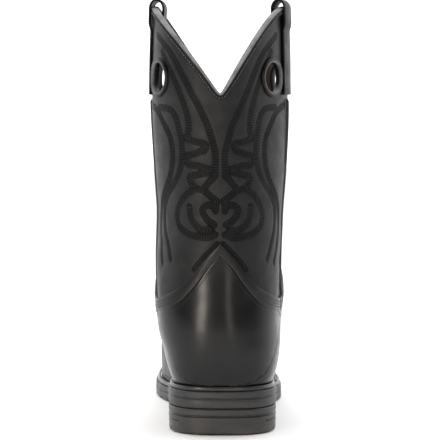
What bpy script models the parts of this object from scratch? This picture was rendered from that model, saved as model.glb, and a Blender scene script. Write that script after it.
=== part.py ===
"""Western work boot, right foot, as separate solids in one frame.

Metres. The toe points to +Y, the outer side of the foot is +X, and the ground is Z = 0.
The origin lies on the ground at the centre of the heel's round back.
The upper is a fan of sections. Each runs from the sole's feather line on the inner side,
over the foot, to the outer side. The last ones close behind the heel and become the shaft.
"""

import math

import bmesh
import bpy
import numpy as np

# Overall sizes
SOLE_LENGTH = 0.311
SOLE_WIDTH = 0.112
COLLAR_HEIGHT = 0.3356
SHAFT_WIDTH = 0.111
SHAFT_CENTRE = -0.0015

# Sole
HEEL_ROUND = 0.043
TOE_ROUND = 0.034
HEEL_SEAT = 0.0345
HEEL_SOLE_THICK = 0.0135
WAIST_THICK = 0.0095
FORE_THICK = 0.0125
TOE_SPRING = 0.008
WELT_THICK = 0.0035
WELT_SETBACK = 0.0014
WELT_UNDERLAP = 0.006
REACH_HEEL = 0.0043
REACH_WAIST = 0.0035
REACH_FORE = 0.0065
SLOT_WIDTH = 0.0036
SLOT_DEPTH = 0.0026
GROOVE_DEPTH = 0.0011

# Upper and overlays
WALL = 0.0022
OVERLAY_NEAR = 0.0006
OVERLAY_FAR = 0.0017
BAND_NEAR = 0.0009
BAND_FAR = 0.0021
FEATHER_GAP = 0.0005
GAP = 0.0003
SEAM_HEIGHT = 0.092
COUNTER_PEAK = 0.1414
COUNTER_BAND_PEAK = 0.1500
BAND_RISE = 0.0107
PIPING_HALF = 0.0020
PIPING_HEIGHT = 0.0019
PIPING_CLEAR = 0.0036
BACK_DIP = 0.0696
FRONT_DIP = 0.0736
BINDING_LEG = 0.0034
BINDING_THICK = 0.0010

# Pull holes and straps
HOLE_DROP = 0.0556
HOLE_SHARE = 0.65
HOLE_RADIUS = 0.0118
RING_RADIUS = 0.0156
STRAP_WIDTH = 0.025
STRAP_THICK = 0.0018
STRAP_LEG = 0.068
STRAP_RISE = 0.0072
STRAP_NEAR = 0.0015
STRAP_STAND = 0.0031
STRAP_INNER = 0.0076

# Counts of facets
RIM_SIDE = 14
SAMPLES = 96
ROW_STEPS = 8

# The sole's two edges before the ends are rounded
# share of length, inner edge and outer edge as shares of half the width
PLAN = np.array([
    (0.000, -0.768, 0.768),
    (0.138, -0.768, 0.768),
    (0.240, -0.708, 0.708),
    (0.370, -0.598, 0.625),
    (0.482, -0.780, 0.780),
    (0.595, -0.992, 0.925),
    (0.659, -1.050, 0.930),
    (0.772, -1.058, 0.866),
    (0.891, -0.985, 0.735),
    (1.000, -0.890, 0.616),
])

# The fan of sections
# front point: share of length, rise above the feather as a share of the collar's rise
# back point: share of length, rise (0 while it lies on the feather)
# half width as a share of half the shaft's width, squareness of the arch, slimness of the sides
FAN = np.array([
    (0.979, 0.000, 0.884, 0.000, 0.000, 0.62, 1.00),
    (0.990, 0.040, 0.871, 0.000, 0.144, 0.66, 1.00),
    (0.981, 0.086, 0.842, 0.000, 0.252, 0.70, 1.00),
    (0.939, 0.124, 0.804, 0.000, 0.342, 0.76, 1.00),
    (0.865, 0.152, 0.749, 0.000, 0.432, 0.82, 1.00),
    (0.768, 0.182, 0.678, 0.000, 0.505, 0.88, 0.97),
    (0.662, 0.220, 0.595, 0.000, 0.559, 0.94, 0.90),
    (0.566, 0.267, 0.502, 0.000, 0.580, 1.00, 0.80),
    (0.489, 0.313, 0.408, 0.000, 0.598, 1.02, 0.70),
    (0.434, 0.350, 0.312, 0.000, 0.612, 1.02, 0.65),
    (0.399, 0.387, 0.215, 0.000, 0.640, 1.00, 0.65),
    (0.379, 0.421, 0.119, 0.000, 0.675, 1.00, 0.65),
    (0.368, 0.450, 0.055, 0.000, 0.755, 1.00, 0.65),
    (0.362, 0.475, 0.023, 0.000, 0.835, 1.00, 0.76),
    (0.358, 0.497, 0.014, 0.000, 0.860, 1.00, 0.78),
    (0.354, 0.519, -0.002, 0.065, 0.865, 1.00, 0.88),
    (0.352, 0.542, -0.006, 0.139, 0.870, 1.00, 0.95),
    (0.350, 0.565, -0.002, 0.220, 0.879, 1.00, 1.00),
    (0.350, 0.592, 0.003, 0.308, 0.888, 1.00, 1.00),
    (0.352, 0.623, 0.003, 0.402, 0.901, 1.00, 1.00),
    (0.354, 0.661, -0.002, 0.503, 0.919, 1.00, 1.00),
    (0.356, 0.709, -0.010, 0.611, 0.942, 1.00, 1.00),
    (0.360, 0.767, -0.019, 0.712, 0.969, 1.00, 1.00),
    (0.365, 0.870, -0.031, 0.846, 1.000, 1.00, 1.00),
    (0.367, 1.039, -0.035, 1.015, 1.000, 1.00, 1.00),
])
CLOSED_ROW = 14.0

# The heel cup: share of the collar's rise, half width as a share of half the shaft's width
CUP = np.array([
    (0.000, 0.688), (0.025, 0.742), (0.055, 0.780), (0.090, 0.803), (0.135, 0.815),
    (0.185, 0.824), (0.235, 0.846), (0.300, 0.862), (0.400, 0.872), (1.100, 0.900),
])
CUP_ROUND = 2.3
SEAT_ROUND = 2.8
TOP_ROW = 24.0

# Lean of the leg: share of the collar's height, factors of the inner and the outer half width
LEAN = np.array([
    (0.000, 1.000, 1.000), (0.165, 1.000, 1.000), (0.196, 1.030, 1.000), (0.228, 1.080, 0.995),
    (0.262, 1.100, 0.985), (0.315, 1.090, 0.978), (0.375, 1.078, 0.982), (0.435, 1.055, 0.990),
    (0.480, 1.025, 0.993), (0.520, 1.008, 0.993), (0.570, 1.012, 1.003), (0.640, 1.017, 1.015),
    (0.720, 1.017, 1.020), (0.775, 1.010, 1.010), (0.830, 0.990, 0.986), (0.905, 0.970, 0.970),
    (0.985, 0.957, 0.956), (1.100, 0.950, 0.950),
])

# The side seam: share of the collar's height, share of length
SIDE_SEAM = np.array([
    (0.000, 0.290),
    (0.113, 0.283),
    (0.179, 0.251),
    (0.358, 0.203),
    (0.596, 0.180),
    (1.100, 0.163),
])

# Lines behind the seam: share of the way from the back to the seam, share of the peak's rise
COUNTER_LINE = np.array([
    (0.00, 1.000), (0.11, 0.775), (0.18, 0.580), (0.29, 0.335), (0.41, 0.170), (0.65, 0.050), (1.00, 0.000),
])
BAND_LINE = np.array([
    (0.00, 1.000), (0.13, 0.730), (0.215, 0.505), (0.34, 0.280), (0.46, 0.150), (0.85, 0.010), (1.00, 0.000),
])
BACK_LEVELS = np.array([
    0.0, 0.0015, 0.004, 0.008, 0.014, 0.022, 0.032, 0.044, 0.056, 0.068, 0.080, 0.092, 0.104, 0.118, 0.135,
])
VAMP_PEAK_ROW = 15.2
VAMP_LINE_BEND = 2.4
VAMP_BAND_RISE = 0.0150
VAMP_BAND_GAP = 0.0010

# Sole sides, bottom to top: share of thickness, setback in metres
SOLE_SIDE = [
    (0.00, 0.0016), (0.12, 0.0002), (0.52, 0.0000), (0.55, 0.0007), (0.62, 0.0007), (0.65, 0.0000),
    (1.00, 0.0004),
]

# Heel side, bottom to top: height in metres, setback, depth of a groove, where that groove starts
HEEL_SIDE = [
    (0.0000, 0.0024, 0.0, 0.0), (0.0010, 0.0011, 0.0, 0.0), (0.0030, 0.0006, 0.0, 0.0),
    (0.0050, 0.0005, 0.0, 0.0), (0.0055, 0.0005, 1.0, 0.052), (0.0060, 0.0005, 0.0, 0.0),
    (0.0095, 0.0004, 0.0, 0.0), (0.0100, 0.0004, 1.0, 0.033), (0.0105, 0.0003, 0.0, 0.0),
    (0.0142, 0.0003, 0.0, 0.0), (0.0147, 0.0003, 1.0, -1.0), (0.0153, 0.0002, 0.0, 0.0),
    (0.0206, 0.0002, 0.0, 0.0),
]
# Rows of facets: the upper's lower part, and the sole's middle part as shares of its length
LOW_ROWS = np.array([
    0.0, 0.5, 1.2, 2.1, 3.1, 4.2, 5.4, 6.4, 7.2, 8.0, 8.5, 9.0, 9.4, 9.8, 10.3, 10.9, 11.5, 12.1, 12.7, 13.3,
    14.0, 14.8, 15.7, 16.6, 17.6, 18.7, 20.2,
])
TOP_SHARES = np.array([0.2, 0.45, 0.7, 0.87, 1.0])
MIDDLE = np.array([
    0.0, 0.08, 0.14, 0.19, 0.24, 0.29, 0.335, 0.38, 0.43, 0.475, 0.52, 0.57, 0.64, 0.73, 0.81, 0.9, 1.0,
])
HEEL_SLOTS = (-0.020, 0.002)
SOLE_SLOTS = (0.098, 0.117, 0.136, 0.155, 0.174, 0.193, 0.212, 0.231)

SHEEN = {
    "leather": ((0.018, 0.018, 0.020), 0.45),
    "gloss": ((0.020, 0.020, 0.022), 0.25),
    "grey": ((0.060, 0.060, 0.062), 0.50),
    "rubber": ((0.022, 0.022, 0.022), 0.70),
    "lining": ((0.110, 0.100, 0.090), 0.80),
}


def start_clean():
    """Remove every object."""
    for item in list(bpy.data.objects):
        bpy.data.objects.remove(item, do_unlink=True)


def smooth(t):
    """Ease from 0 to 1."""
    t = np.clip(t, 0.0, 1.0)
    return t * t * (3.0 - 2.0 * t)


def curve(knots, values, t):
    """Smooth curve through a table's rows."""
    slopes = np.gradient(values, knots, axis=0)
    t = np.clip(t, knots[0], knots[-1])
    low = np.clip(np.searchsorted(knots, t, side="right") - 1, 0, len(knots) - 2)
    shape = np.shape(low) + (1,) * (values.ndim - 1)
    span = (knots[low + 1] - knots[low]).reshape(shape)
    f = (t - knots[low]).reshape(shape) / span
    start = values[low] * (1 + 2 * f) * (1 - f) ** 2 + values[low + 1] * f * f * (3 - 2 * f)
    return start + span * (slopes[low] * f * (1 - f) ** 2 - slopes[low + 1] * f * f * (1 - f))


def along(share):
    """Y at a share of the sole's length."""
    return share * SOLE_LENGTH - HEEL_ROUND


# The sole's plan and profile


def sole_top(y):
    """Height of the outsole's top face: heel seat, fall over the waist, flat ball, toe spring."""
    fall = smooth((y - along(0.254)) / (along(0.550) - along(0.254)))
    spring = np.clip((y - along(0.733)) / (along(1.0) - along(0.733)), 0.0, None)
    return HEEL_SEAT + (FORE_THICK - HEEL_SEAT) * fall + TOE_SPRING * spring ** 1.8


def sole_thickness(y):
    """Thickness of the outsole, least under the waist."""
    waist = smooth((y - along(0.254)) / (along(0.379) - along(0.254)))
    fore = smooth((y - along(0.395)) / (along(0.550) - along(0.395)))
    return HEEL_SOLE_THICK + (WAIST_THICK - HEEL_SOLE_THICK) * waist + (FORE_THICK - WAIST_THICK) * fore


def welt_top(y):
    """Height of the welt's top face."""
    return sole_top(y) + GAP + WELT_THICK


def feather_height(y):
    """Height of the upper's lower edge."""
    return welt_top(y) + FEATHER_GAP


def welt_reach(y):
    """How far the sole stands out past the upper."""
    waist = smooth((y - along(0.14)) / (along(0.33) - along(0.14)))
    fore = smooth((y - along(0.42)) / (along(0.60) - along(0.42)))
    return REACH_HEEL + (REACH_WAIST - REACH_HEEL) * waist + (REACH_FORE - REACH_WAIST) * fore


def edge_share(t):
    """Share of the length at a point of the half outline; t runs 0 to 1 from heel to toe."""
    heel = HEEL_ROUND / SOLE_LENGTH
    toe = 1.0 - TOE_ROUND / SOLE_LENGTH
    back = heel * (1.0 - np.cos(np.clip(t / 0.3, 0, 1) * math.pi / 2) ** (2 / SEAT_ROUND))
    middle = (toe - heel) * np.clip((t - 0.3) / 0.4, 0, 1)
    front = (1.0 - toe) * np.sin(np.clip((t - 0.7) / 0.3, 0, 1) * math.pi / 2) ** (2 / 3.0)
    return back + middle + front


def edge_round(t):
    """Factor that draws the two edges together at the heel and the toe."""
    back = np.sin(np.clip(t / 0.3, 0, 1) * math.pi / 2) ** (2 / SEAT_ROUND)
    front = np.cos(np.clip((t - 0.7) / 0.3, 0, 1) * math.pi / 2) ** (2 / 3.0)
    return back * front


def edge_table(side):
    """Dense half outline: t, x, y and the inward normal."""
    t = np.linspace(0.0, 1.0, 1201)
    share = edge_share(t)
    edges = curve(PLAN[:, 0], PLAN[:, 1:], share)
    middle = edges.mean(axis=1) * SOLE_WIDTH / 2
    half = (edges[:, 1] - edges[:, 0]) / 2 * SOLE_WIDTH / 2
    x = middle + side * half * edge_round(t)
    y = along(share)
    dx = np.gradient(x)
    dy = np.gradient(y)
    size = np.hypot(dx, dy)
    nx = -side * dy / size
    ny = side * dx / size
    nx[[0, -1]] = 0.0
    ny[[0, -1]] = (1.0, -1.0)
    return np.stack([t, x, y, nx, ny])


def edge_point(side, t, inset, reach=0.0):
    """Points of one half outline drawn inwards by an inset and a share of the welt's reach."""
    rows = EDGES[side]
    x, y, nx, ny = (np.interp(t, rows[0], rows[k]) for k in range(1, 5))
    step = inset + reach * welt_reach(y)
    return x + nx * step, y + ny * step


def feather_span(y):
    """Middle and half width of the feather line at y."""
    inner = np.interp(y, FEATHER[-1][1], FEATHER[-1][0])
    outer = np.interp(y, FEATHER[1][1], FEATHER[1][0])
    return (inner + outer) / 2, (outer - inner) / 2


# The upper's surface


def fan_rows(rows):
    """Front and back points, half widths, squareness and slimness of the sections at the given rows."""
    rise = COLLAR_HEIGHT - feather_height(along(0.0))
    data = curve(np.arange(len(FAN)), FAN, rows)
    front_y = along(data[:, 0])
    back_y = np.maximum(along(data[:, 2]), np.where(rows < CLOSED_ROW, FEATHER[1][1][0], -1.0))
    front_z = feather_height(front_y) + np.maximum(data[:, 1], 0.0) * rise
    closed_z = feather_height(along(0.0)) + data[:, 3] * rise
    back_z = np.where(rows < CLOSED_ROW, feather_height(back_y), closed_z)
    return front_y, front_z, back_y, back_z, data[:, 4] * SHAFT_WIDTH / 2, data[:, 5], data[:, 6]


def back_edge(z):
    """Y of the back seam at height z."""
    rows = np.linspace(CLOSED_ROW, TOP_ROW, 200)
    points = fan_rows(rows)
    return np.interp(z, points[3], points[2])


def cup_half(y, z):
    """Half width of the heel cup: round behind, straight at the sides, wider with height."""
    floor = feather_height(along(0.0))
    rise = np.clip((z - floor) / (COLLAR_HEIGHT - floor), 0.0, 1.1)
    half = curve(CUP[:, 0], CUP[:, 1], rise) * SHAFT_WIDTH / 2
    centre = 0.008 * smooth(rise / 0.08)
    back = np.clip((centre - y) / (centre - back_edge(z)), 0.0, 1.0)
    power = CUP_ROUND + (SEAT_ROUND - CUP_ROUND) * (1 - smooth(rise / 0.14))
    return half * (1 - back ** power) ** (1 / power)


def half_sections(rows, side):
    """Points of each section's half, spaced evenly from the top or front centre to its end."""
    front_y, front_z, back_y, back_z, wide, square, slim = (c[:, None] for c in fan_rows(rows))
    v = rows[:, None]
    tau = np.linspace(0.0, 1.0, 2 * SAMPLES + 1)[None, :]
    centre, foot = feather_span(back_y)
    foot = np.where(v < CLOSED_ROW, foot, 0.0)
    lean = smooth((v - 18.0) / 5.0)
    skew = 1.0 + lean * (0.25 if side > 0 else -0.07)
    arch = foot * np.cos(math.pi * tau / 2) ** square
    bulge = wide * np.sin(math.pi * np.minimum(tau ** skew, 1.0)) ** slim
    heel_half = feather_span(np.array(0.0))[1]
    fill = np.clip(foot / heel_half, 0.0, 1.0)
    closing = np.maximum((1.0 - fill ** 6) * smooth((v - 9.5) / 1.5), 0.45 * (1.0 - fill))
    q = (1 - closing) * np.sin(math.pi * tau / 2) + closing * (1 - np.cos(math.pi * tau)) / 2
    half = np.hypot(arch, bulge)
    y = back_y + (front_y - back_y) * q
    z = back_z + (front_z - back_z) * q
    cup_share = smooth((v - 9.0) / 1.5) * (1 - smooth((v - 15.0) / 2.0)) * (1 - smooth((y - 0.002) / 0.034))
    half = half + (cup_half(y, z) - half) * cup_share
    half = np.where(v < 1.0, (1 - v) * feather_span(y)[1] + v * half, half)
    half = half * curve(LEAN[:, 0], LEAN[:, 1:], z / COLLAR_HEIGHT)[..., 0 if side < 0 else 1]
    upright = smooth((v - 10.0) / 8.0)
    front_x = feather_span(front_y)[0] * (1 - upright) + SHAFT_CENTRE * upright
    back_x = centre * (1 - upright) + SHAFT_CENTRE * upright
    x = back_x + (front_x - back_x) * q + side * half
    return spread(np.stack([x, y, z], axis=-1)[:, ::-1])


def spread(points):
    """Space the points of each row evenly along its length."""
    steps = np.linalg.norm(np.diff(points, axis=1), axis=2)
    length = np.concatenate([np.zeros((len(points), 1)), np.cumsum(steps, axis=1)], axis=1)
    even = np.linspace(0.0, 1.0, SAMPLES + 1)
    out = np.empty((len(points), SAMPLES + 1, 3))
    for row, (size, line) in enumerate(zip(length, points)):
        for axis in range(3):
            out[row, :, axis] = np.interp(even * size[-1], size, line[:, axis])
    return out


def dense_surface():
    """Grid of the whole surface and its outward normals."""
    rows = np.linspace(0.0, TOP_ROW, int(TOP_ROW) * ROW_STEPS + 1)
    inner = half_sections(rows, -1)
    outer = half_sections(rows, 1)
    grid = np.concatenate([inner[:, ::-1], outer[:, 1:]], axis=1)
    normal = np.cross(np.gradient(grid, axis=0), np.gradient(grid, axis=1))
    for _ in range(2):
        normal[1:-1] = (normal[:-2] + 2 * normal[1:-1] + normal[2:]) / 4
        normal[:, 1:-1] = (normal[:, :-2] + 2 * normal[:, 1:-1] + normal[:, 2:]) / 4
        normal[0, [0, 1, -2, -1]] = normal[1, [2, 3, -4, -3]]
    closed = rows >= CLOSED_ROW
    seam = normal[closed, 0] + normal[closed, -1]
    normal[closed, 0] = seam
    normal[closed, -1] = seam
    return grid, normal / np.linalg.norm(normal, axis=2, keepdims=True)


def read(field, u, v):
    """Value of a grid at u (-1 inner, 0 centre, 1 outer) and at row v."""
    u, v = np.broadcast_arrays(np.asarray(u, float), np.asarray(v, float))
    a = np.clip((u + 1) / 2 * (field.shape[1] - 1), 0, field.shape[1] - 1.000001)
    b = np.clip(v * ROW_STEPS, 0, field.shape[0] - 1.000001)
    i = a.astype(int)
    j = b.astype(int)
    fa = (a - i)[..., None]
    fb = (b - j)[..., None]
    low = field[j, i] * (1 - fa) + field[j, i + 1] * fa
    high = field[j + 1, i] * (1 - fa) + field[j + 1, i + 1] * fa
    return low * (1 - fb) + high * fb


def skin(u, v, lift=0.0):
    """Points of the upper's surface, lifted along its normal and kept above the welt."""
    normal = read(NORMAL, u, v)
    points = read(SURFACE, u, v) + normal * lift
    floor = feather_height(points[..., 1])
    points[..., 2] = np.maximum(points[..., 2], floor)
    return points


def facet_skin(u, v, lift):
    """Like skin, but on the straight lines between the upper's own rows of facets."""
    low = np.clip(np.searchsorted(LOW_ROWS, v, side="right") - 1, 0, len(LOW_ROWS) - 2)
    start = LOW_ROWS[low]
    end = LOW_ROWS[low + 1]
    f = ((v - start) / (end - start))[..., None]
    return skin(u, start, lift) * (1 - f) + skin(u, end, lift) * f


def row_at_height(u, z, low=8.0):
    """Row at which the surface reaches height z, by halving."""
    u, z = np.broadcast_arrays(np.asarray(u, float), np.asarray(z, float))
    a = np.full(u.shape, low)
    b = np.full(u.shape, TOP_ROW)
    for _ in range(34):
        middle = (a + b) / 2
        below = read(SURFACE, u, middle)[..., 2] < z
        a = np.where(below, middle, a)
        b = np.where(below, b, middle)
    return (a + b) / 2


def seam_y(z):
    """Y of the side seam at height z."""
    return along(curve(SIDE_SEAM[:, 0], SIDE_SEAM[:, 1], z / COLLAR_HEIGHT))


def seam_u(v, side):
    """Place of the side seam on row v, by halving; 1 where the row ends before it."""
    v = np.asarray(v, float)
    a = np.zeros(v.shape)
    b = np.ones(v.shape)
    for _ in range(30):
        middle = (a + b) / 2
        point = read(SURFACE, side * middle, v)
        ahead = point[..., 1] > seam_y(point[..., 2])
        a = np.where(ahead, middle, a)
        b = np.where(ahead, b, middle)
    return (a + b) / 2


def row_length(v):
    """Length of half a row, both sides taken together."""
    steps = np.linalg.norm(np.diff(SURFACE, axis=1), axis=2).sum(axis=1) / 2
    return np.interp(v, np.arange(len(steps)) / ROW_STEPS, steps)


def collar_height(u):
    """Height of the collar: two dips at the centres, two tips at the side seams."""
    side = np.where(u < 0, -1, 1)
    tip = np.where(side < 0, TIP_U[-1], TIP_U[1])
    size = np.abs(u)
    ahead = size < tip
    share = np.where(ahead, size / tip, (1 - size) / (1 - tip))
    share = np.clip(np.hypot(share, 0.03) - 0.03, 0.0, 1.0)
    dip = np.where(ahead, FRONT_DIP, BACK_DIP)
    return COLLAR_HEIGHT - dip * (1 - share) ** 2.1


def line_height(table, foot, peak, share):
    """Height of a line at a share of the way from the back to the side seam."""
    return foot + (peak - foot) * curve(table[:, 0], table[:, 1], share)


# Meshes


def close_mesh(bm):
    """Merge shared points, drop empty faces and face everything outwards."""
    bmesh.ops.remove_doubles(bm, verts=bm.verts, dist=0.00002)
    bmesh.ops.dissolve_degenerate(bm, edges=bm.edges, dist=0.00002)
    loose = [v for v in bm.verts if not v.link_faces]
    bmesh.ops.delete(bm, geom=loose, context="VERTS")
    bmesh.ops.triangulate(bm, faces=bm.faces)
    bmesh.ops.recalc_face_normals(bm, faces=bm.faces)


def make_object(name, points, faces, sheen):
    """One named solid with its own material."""
    mesh = bpy.data.meshes.new(name)
    mesh.from_pydata([tuple(p) for p in points], [], faces)
    bm = bmesh.new()
    bm.from_mesh(mesh)
    close_mesh(bm)
    bm.to_mesh(mesh)
    bm.free()
    item = bpy.data.objects.new(name, mesh)
    bpy.context.scene.collection.objects.link(item)
    item.data.materials.append(make_material(name, sheen))
    return item


def make_material(name, sheen):
    """Plain material of a sub-part."""
    colour, rough = SHEEN[sheen]
    material = bpy.data.materials.new(name)
    material.use_nodes = True
    shader = material.node_tree.nodes["Principled BSDF"]
    shader.inputs["Base Color"].default_value = (*colour, 1.0)
    shader.inputs["Roughness"].default_value = rough
    return material


def sheet_faces(rows, columns, start, flip=False):
    """Quads of a grid whose points start at a given index."""
    faces = []
    for j in range(rows - 1):
        for i in range(columns - 1):
            a = start + j * columns + i
            quad = (a, a + 1, a + columns + 1, a + columns)
            faces.append(quad[::-1] if flip else quad)
    return faces


def thick_sheet(far, near, open_left=None, open_right=None):
    """Points and faces of a sheet with two faces and the rims that close it."""
    rows, columns = far.shape[:2]
    count = rows * columns
    points = np.concatenate([far.reshape(-1, 3), near.reshape(-1, 3)])
    faces = sheet_faces(rows, columns, 0) + sheet_faces(rows, columns, count, flip=True)
    for i in range(columns - 1):
        faces.append((i + 1, i, count + i, count + i + 1))
        a = (rows - 1) * columns + i
        faces.append((a, a + 1, count + a + 1, count + a))
    for j in range(rows - 1):
        a = j * columns
        b = a + columns - 1
        if open_left is None or open_left[j]:
            faces.append((a, a + columns, count + a + columns, count + a))
        if open_right is None or open_right[j]:
            faces.append((b + columns, b, count + b, count + b + columns))
    return points, faces


def join_sheets(parts):
    """Several point and face lists as one."""
    points = []
    faces = []
    for some_points, some_faces in parts:
        start = sum(len(p) for p in points)
        points.append(some_points)
        faces += [tuple(start + k for k in face) for face in some_faces]
    return np.concatenate(points), faces


def ring_faces(loops, size, closed_rings=False):
    """Quads between loops of the same size; the last may close on the first."""
    faces = []
    for j in range(loops if closed_rings else loops - 1):
        for i in range(size):
            a = j * size + i
            b = j * size + (i + 1) % size
            up = size if j < loops - 1 else -j * size
            faces.append((a, b, b + up, a + up))
    return faces


def loop_points(t, inset, reach, height, breast=None):
    """One level of a sole piece: up the inner half, down the outer half."""
    inner_x, inner_y = edge_point(-1, t, inset, reach)
    outer_x, outer_y = edge_point(1, t, inset, reach)
    last = len(t) if breast is not None else len(t) - 1
    x = np.concatenate([inner_x, outer_x[1:last][::-1]])
    y = np.concatenate([inner_y, outer_y[1:last][::-1]])
    if breast is not None:
        y = np.minimum(y, breast)
    return np.stack([x, y, height(y)], axis=1)


def cap_faces(size, start, flip):
    """Strips across a loop, from one edge to the other."""
    half = size // 2
    faces = []
    for i in range(half):
        a = start + i
        b = start + i + 1
        c = start + (size - i - 1) % size
        d = start + (size - i) % size
        quad = [k for n, k in enumerate((a, b, c, d)) if k not in (a, b, c, d)[:n]]
        if len(quad) > 2:
            faces.append(tuple(quad[::-1] if flip else quad))
    return faces


def stack(levels):
    """Points and faces of loops one above another, capped at both ends."""
    size = len(levels[0])
    faces = ring_faces(len(levels), size)
    faces += cap_faces(size, 0, True)
    faces += cap_faces(size, (len(levels) - 1) * size, False)
    return np.concatenate(levels), faces


def stations():
    """Places round half the sole's outline: closer at the heel and the toe."""
    heel = np.linspace(0.0, 0.3, 9)
    toe = np.linspace(0.7, 1.0, 9)
    return np.concatenate([heel, 0.3 + 0.4 * MIDDLE[1:], toe[1:]])


def slot_cutter(name, places, target, height):
    """Straight slots across the tread, as one hidden cutter."""
    points = []
    faces = []
    wide = SOLE_WIDTH
    for y in places:
        top = height(np.asarray(y)) + SLOT_DEPTH
        start = len(points)
        for x in (-wide, wide):
            for dy, dz in ((-1, -0.03), (1, -0.03), (0.8, 0.0), (-0.8, 0.0)):
                points.append((x, y + dy * SLOT_WIDTH / 2, float(top) + (dz if dz else 0.0)))
        faces += [tuple(start + k for k in face) for face in (
            (0, 1, 2, 3), (7, 6, 5, 4), (0, 4, 5, 1), (1, 5, 6, 2), (2, 6, 7, 3), (3, 7, 4, 0))]
    return hidden_cutter(name, np.array(points), faces, target)


def hidden_cutter(name, points, faces, target):
    """Cut a hidden solid out of a part."""
    cutter = make_object(name, points, faces, "rubber")
    cutter.hide_render = True
    cutter.display_type = "WIRE"
    cut = target.modifiers.new(name, "BOOLEAN")
    cut.operation = "DIFFERENCE"
    cut.solver = "EXACT"
    cut.object = cutter
    return cutter


# Sole pieces


def build_outsole():
    """Full-length outsole under the heel seat, waist and ball."""
    levels = []
    for share, inset in SOLE_SIDE:
        levels.append(loop_points(
            stations(), inset, 0.0, lambda y, s=share: sole_top(y) - sole_thickness(y) * (1 - s)))
    item = make_object("outsole", *stack(levels), "rubber")
    slot_cutter("outsole_slots", SOLE_SLOTS, item, lambda y: sole_top(y) - sole_thickness(y))
    return item


def build_heel():
    """Heel block with ribs round its corners and one groove all round."""
    breast = along(0.244)
    t = np.concatenate([np.linspace(0.0, 0.3, 11), np.linspace(0.3, 0.363, 4)[1:]])
    levels = []
    for height, inset, depth, start in HEEL_SIDE:
        scale = height / HEEL_SIDE[-1][0] * (HEEL_SEAT - HEEL_SOLE_THICK - GAP - 0.0001)
        level = loop_points(t, inset, 0.0, lambda y, z=scale: z + 0.0 * y, breast)
        groove = loop_points(t, inset + GROOVE_DEPTH * depth, 0.0, lambda y, z=scale: z + 0.0 * y, breast)
        keep = (level[:, 1] > along(start))[:, None] | (start < 0)
        levels.append(np.where(keep & (depth > 0), groove, level))
    item = make_object("heel", *stack(levels), "rubber")
    slot_cutter("heel_slots", HEEL_SLOTS, item, lambda y: 0.0 * y)
    return item


def build_welt():
    """Welt strip round the foot, with a hole that the insole fills."""
    t = stations()
    levels = [
        loop_points(t, WELT_SETBACK + 0.0005, 0.0, lambda y: sole_top(y) + GAP),
        loop_points(t, WELT_SETBACK, 0.0, lambda y: sole_top(y) + GAP + WELT_THICK / 2),
        loop_points(t, WELT_SETBACK + 0.0006, 0.0, welt_top),
        loop_points(t, WELT_UNDERLAP, 1.0, welt_top),
        loop_points(t, WELT_UNDERLAP, 1.0, lambda y: sole_top(y) + GAP),
    ]
    faces = ring_faces(len(levels), len(levels[0]), closed_rings=True)
    return make_object("welt", np.concatenate(levels), faces, "rubber")


def build_insole():
    """Insole: a plug that fills the welt and a plate inside the upper's wall."""
    t = stations()
    plug = WELT_UNDERLAP + 0.0004
    plate = WALL + 0.0024
    levels = [
        loop_points(t, plug, 1.0, lambda y: sole_top(y) + 0.0005),
        loop_points(t, plug, 1.0, feather_height),
        loop_points(t, plate, 1.0, feather_height),
        loop_points(t, plate, 1.0, lambda y: feather_height(y) + 0.0024),
    ]
    return make_object("insole", *stack(levels), "lining")


# Leather pieces


def upper_grid(lift):
    """Grid of the upper from the feather line to the collar."""
    u = np.linspace(-1.0, 1.0, 2 * RIM_SIDE + 1)
    top = row_at_height(u, collar_height(u), 18.0)
    high = LOW_ROWS[-1] + (top - LOW_ROWS[-1])[None, :] * TOP_SHARES[:, None]
    v = np.concatenate([np.repeat(LOW_ROWS[:, None], len(u), axis=1), high])
    return skin(u[None, :], v, lift), v


def build_upper():
    """The upper: one hollow shell, open at the collar and underneath, with four pull holes."""
    far, v = upper_grid(0.0)
    near = upper_grid(-WALL)[0]
    open_side = v[1:, 0] <= CLOSED_ROW
    item = make_object("upper", *thick_sheet(far, near, open_side, open_side), "leather")
    hidden_cutter("pull_hole_cutters", *hole_cutters(), item)
    return item


def hole_places():
    """Middle of each pull hole: name, side, place on the row, row."""
    places = []
    for side_name, side in (("medial", -1), ("lateral", 1)):
        for end_name, ahead in (("back", False), ("front", True)):
            row = row_at_height(side * TIP_U[side], COLLAR_HEIGHT - HOLE_DROP, 18.0)
            tip = seam_u(row, side)
            place = tip * HOLE_SHARE if ahead else 1 - HOLE_SHARE * (1 - tip)
            row = float(row_at_height(side * place, COLLAR_HEIGHT - HOLE_DROP, 18.0))
            places.append((f"{side_name}_{end_name}", side, float(side * place), row))
    return places


def hole_frame(u, v):
    """Middle, outward, sideways and upward directions at a pull hole."""
    middle = skin(u, v)
    outward = read(NORMAL, u, v)
    sideways = np.cross((0.0, 0.0, 1.0), outward)
    sideways /= np.linalg.norm(sideways)
    return middle, outward, sideways, np.cross(outward, sideways)


def hole_cutters():
    """Four round bars through the upper's wall, as one hidden cutter."""
    size = 14
    angle = np.linspace(0, 2 * math.pi, size, endpoint=False)[:, None]
    parts = []
    for _, _, u, v in hole_places():
        middle, outward, sideways, upward = hole_frame(u, v)
        circle = middle + HOLE_RADIUS * (np.cos(angle) * sideways + np.sin(angle) * upward)
        points = np.concatenate([circle - outward * 0.012, circle + outward * 0.010])
        faces = ring_faces(2, size) + [tuple(range(size))[::-1], tuple(range(size, 2 * size))]
        parts.append((points, faces))
    return join_sheets(parts)


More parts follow.
